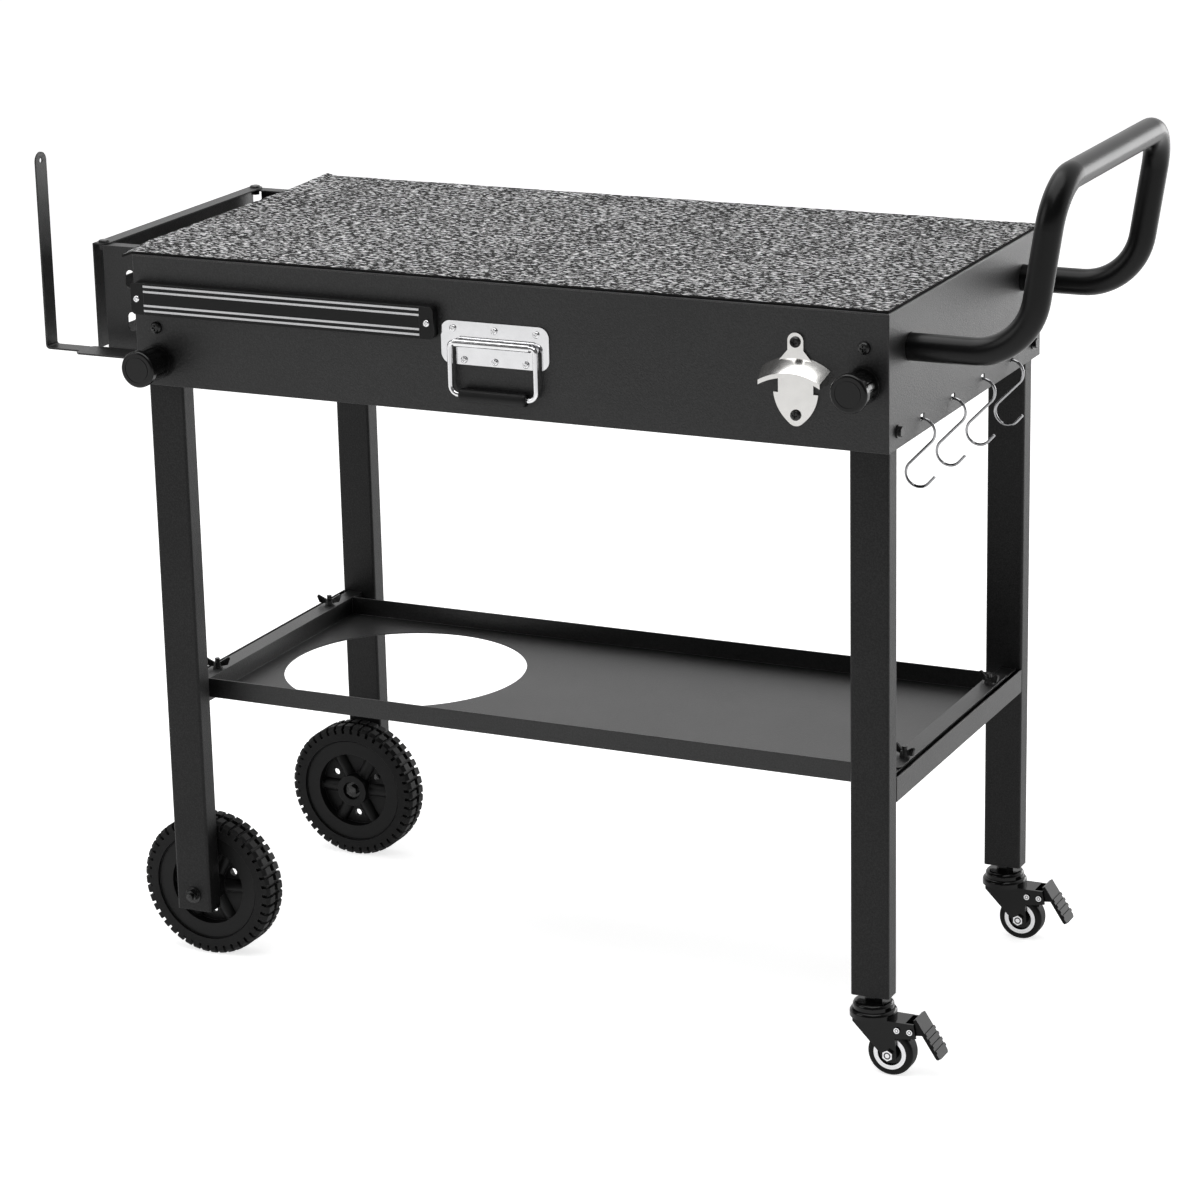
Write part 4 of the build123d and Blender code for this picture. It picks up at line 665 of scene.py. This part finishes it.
class CART_OT_studio(bpy.types.Operator):
    """Set up the floor, the lights and the camera"""
    bl_idname = "cart.studio"
    bl_label = "Studio"

    def execute(self, context):
        stage = context.scene.cart_stage
        self.make_floor(context, stage)
        self.make_world(context, stage)
        self.make_lamps(context, stage)
        self.make_camera(context, stage)
        context.scene.view_settings.view_transform = "Standard"
        return {"FINISHED"}

    def make_floor(self, context, stage):
        """A pale floor that is white where it is seen, and still keeps the shadow."""
        bm = bmesh.new()
        bmesh.ops.create_grid(bm, x_segments=1, y_segments=1, size=FLOOR)
        mesh = bpy.data.meshes.new("floor")
        bm.to_mesh(mesh)
        bm.free()
        floor = bpy.data.objects.new("floor", mesh)
        context.scene.collection.objects.link(floor)
        paint = Finish("pale_floor", roughness=0.8)
        soft = paint.noise(scale=0.6)
        paint.colour(paint.ramp(soft, low=0.0, high=1.0, dark=dulled(stage.floor, share=0.99),
                                light=stage.floor))
        paint.shader.inputs["Emission Color"].default_value = WHITE
        tree = paint.material.node_tree
        mirrored = paint.math("MULTIPLY", seen_rays(tree, "Is Glossy Ray"), stage.mirrored)
        seen = paint.math("MAXIMUM", seen_rays(tree, "Is Camera Ray", "Is Transmission Ray"), mirrored)
        glow = paint.math("MULTIPLY", seen, stage.glow)
        paint.links.new(glow, paint.shader.inputs["Emission Strength"])
        dress(floor, paint.material)

    def make_world(self, context, stage):
        """White behind the cart, a dim room in front of it in mirrors, and soft light all round."""
        world = bpy.data.worlds.new("studio")
        context.scene.world = world
        world.use_nodes = True
        nodes = world.node_tree.nodes
        links = world.node_tree.links
        background = nodes["Background"]
        background.inputs["Color"].default_value = WHITE
        seen = seen_rays(world.node_tree, "Is Camera Ray", "Is Transmission Ray")
        direction = nodes.new("ShaderNodeSeparateXYZ")
        links.new(nodes.new("ShaderNodeTexCoord").outputs["Generated"], direction.inputs["Vector"])
        backdrop = nodes.new("ShaderNodeMapRange")
        backdrop.inputs["From Min"].default_value = ROOM_END
        backdrop.inputs["From Max"].default_value = BACKDROP_START
        backdrop.inputs["To Min"].default_value = stage.room
        links.new(direction.outputs["Y"], backdrop.inputs["Value"])
        mirrored = nodes.new("ShaderNodeMix")
        unmirrored, reflected = MIX_VALUES
        mirrored.inputs[unmirrored].default_value = stage.ambient
        links.new(seen_rays(world.node_tree, "Is Glossy Ray"), mirrored.inputs[MIX_FACTOR])
        links.new(backdrop.outputs["Result"], mirrored.inputs[reflected])
        level = nodes.new("ShaderNodeMath")
        level.operation = "MAXIMUM"
        links.new(seen, level.inputs[0])
        links.new(mirrored.outputs[MIX_VALUE], level.inputs[1])
        links.new(level.outputs["Value"], background.inputs["Strength"])

    def make_lamps(self, context, stage):
        """Three softboxes, all pointed at the cart."""
        lamps = (("key_softbox", KEY_PLACE, KEY_SIZE, stage.key),
                 ("fill_softbox", FILL_PLACE, FILL_SIZE, stage.fill),
                 ("side_softbox", SIDE_PLACE, SIDE_SIZE, stage.side))
        for name, place, size, power in lamps:
            lamp = bpy.data.lights.new(name, "AREA")
            lamp.shape = "RECTANGLE"
            lamp.size, lamp.size_y = size
            lamp.energy = power
            stand = bpy.data.objects.new(name, lamp)
            stand.visible_camera = False
            stand.location = place
            aim = Vector(LAMP_TARGET) - Vector(place)
            stand.rotation_euler = aim.to_track_quat("-Z", "Y").to_euler()
            context.scene.collection.objects.link(stand)

    def make_camera(self, context, stage):
        """The camera, turned by its yaw, pitch and roll."""
        level = math.cos(CAMERA_PITCH)
        ahead = Vector((-math.sin(CAMERA_YAW) * level, math.cos(CAMERA_YAW) * level, -math.sin(CAMERA_PITCH)))
        right = Vector((math.cos(CAMERA_YAW), math.sin(CAMERA_YAW), 0))
        up = right.cross(ahead)
        side = right * math.cos(CAMERA_ROLL) + up * math.sin(CAMERA_ROLL)
        top = up * math.cos(CAMERA_ROLL) - right * math.sin(CAMERA_ROLL)
        lens = bpy.data.cameras.new("camera")
        lens.sensor_width = CAMERA_SENSOR
        lens.sensor_fit = "HORIZONTAL"
        lens.lens = stage.focal
        lens.clip_end = CAMERA_FAR
        camera = bpy.data.objects.new("camera", lens)
        turn = Matrix((side, top, -ahead)).transposed().to_4x4()
        camera.matrix_world = Matrix.Translation(CAMERA_PLACE) @ turn
        context.scene.collection.objects.link(camera)
        context.scene.camera = camera


class CART_PT_looks(bpy.types.Panel):
    """The cart's pieces in the sidebar"""
    bl_idname = "CART_PT_looks"
    bl_label = "Grill Cart"
    bl_space_type = "VIEW_3D"
    bl_region_type = "UI"
    bl_category = "Grill Cart"

    def draw(self, context):
        for operator in OPERATORS:
            self.layout.operator(operator.bl_idname)


OPERATORS = (CART_OT_studio, CART_OT_sheet_steel, CART_OT_handle_tube, CART_OT_bright_work,
             CART_OT_plastics, CART_OT_fasteners, CART_OT_felt_mat)
GROUPS = (CartFinishes, CartFelt, CartStage)
CLASSES = GROUPS + OPERATORS + (CART_PT_looks,)


def register():
    """Make the classes and the cart's settings known."""
    for cls in CLASSES:
        bpy.utils.register_class(cls)
    bpy.types.Scene.cart_finishes = PointerProperty(type=CartFinishes)
    bpy.types.Scene.cart_felt = PointerProperty(type=CartFelt)
    bpy.types.Scene.cart_stage = PointerProperty(type=CartStage)


def unregister():
    """Take the settings and the classes away again."""
    del bpy.types.Scene.cart_stage
    del bpy.types.Scene.cart_felt
    del bpy.types.Scene.cart_finishes
    for cls in reversed(CLASSES):
        bpy.utils.unregister_class(cls)


def main():
    """Dress the cart."""
    register()
    bpy.ops.cart.studio()
    bpy.ops.cart.sheet_steel()
    bpy.ops.cart.handle_tube()
    bpy.ops.cart.bright_work()
    bpy.ops.cart.plastics()
    bpy.ops.cart.fasteners()
    bpy.ops.cart.felt_mat()
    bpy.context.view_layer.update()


if __name__ == "__main__":
    main()
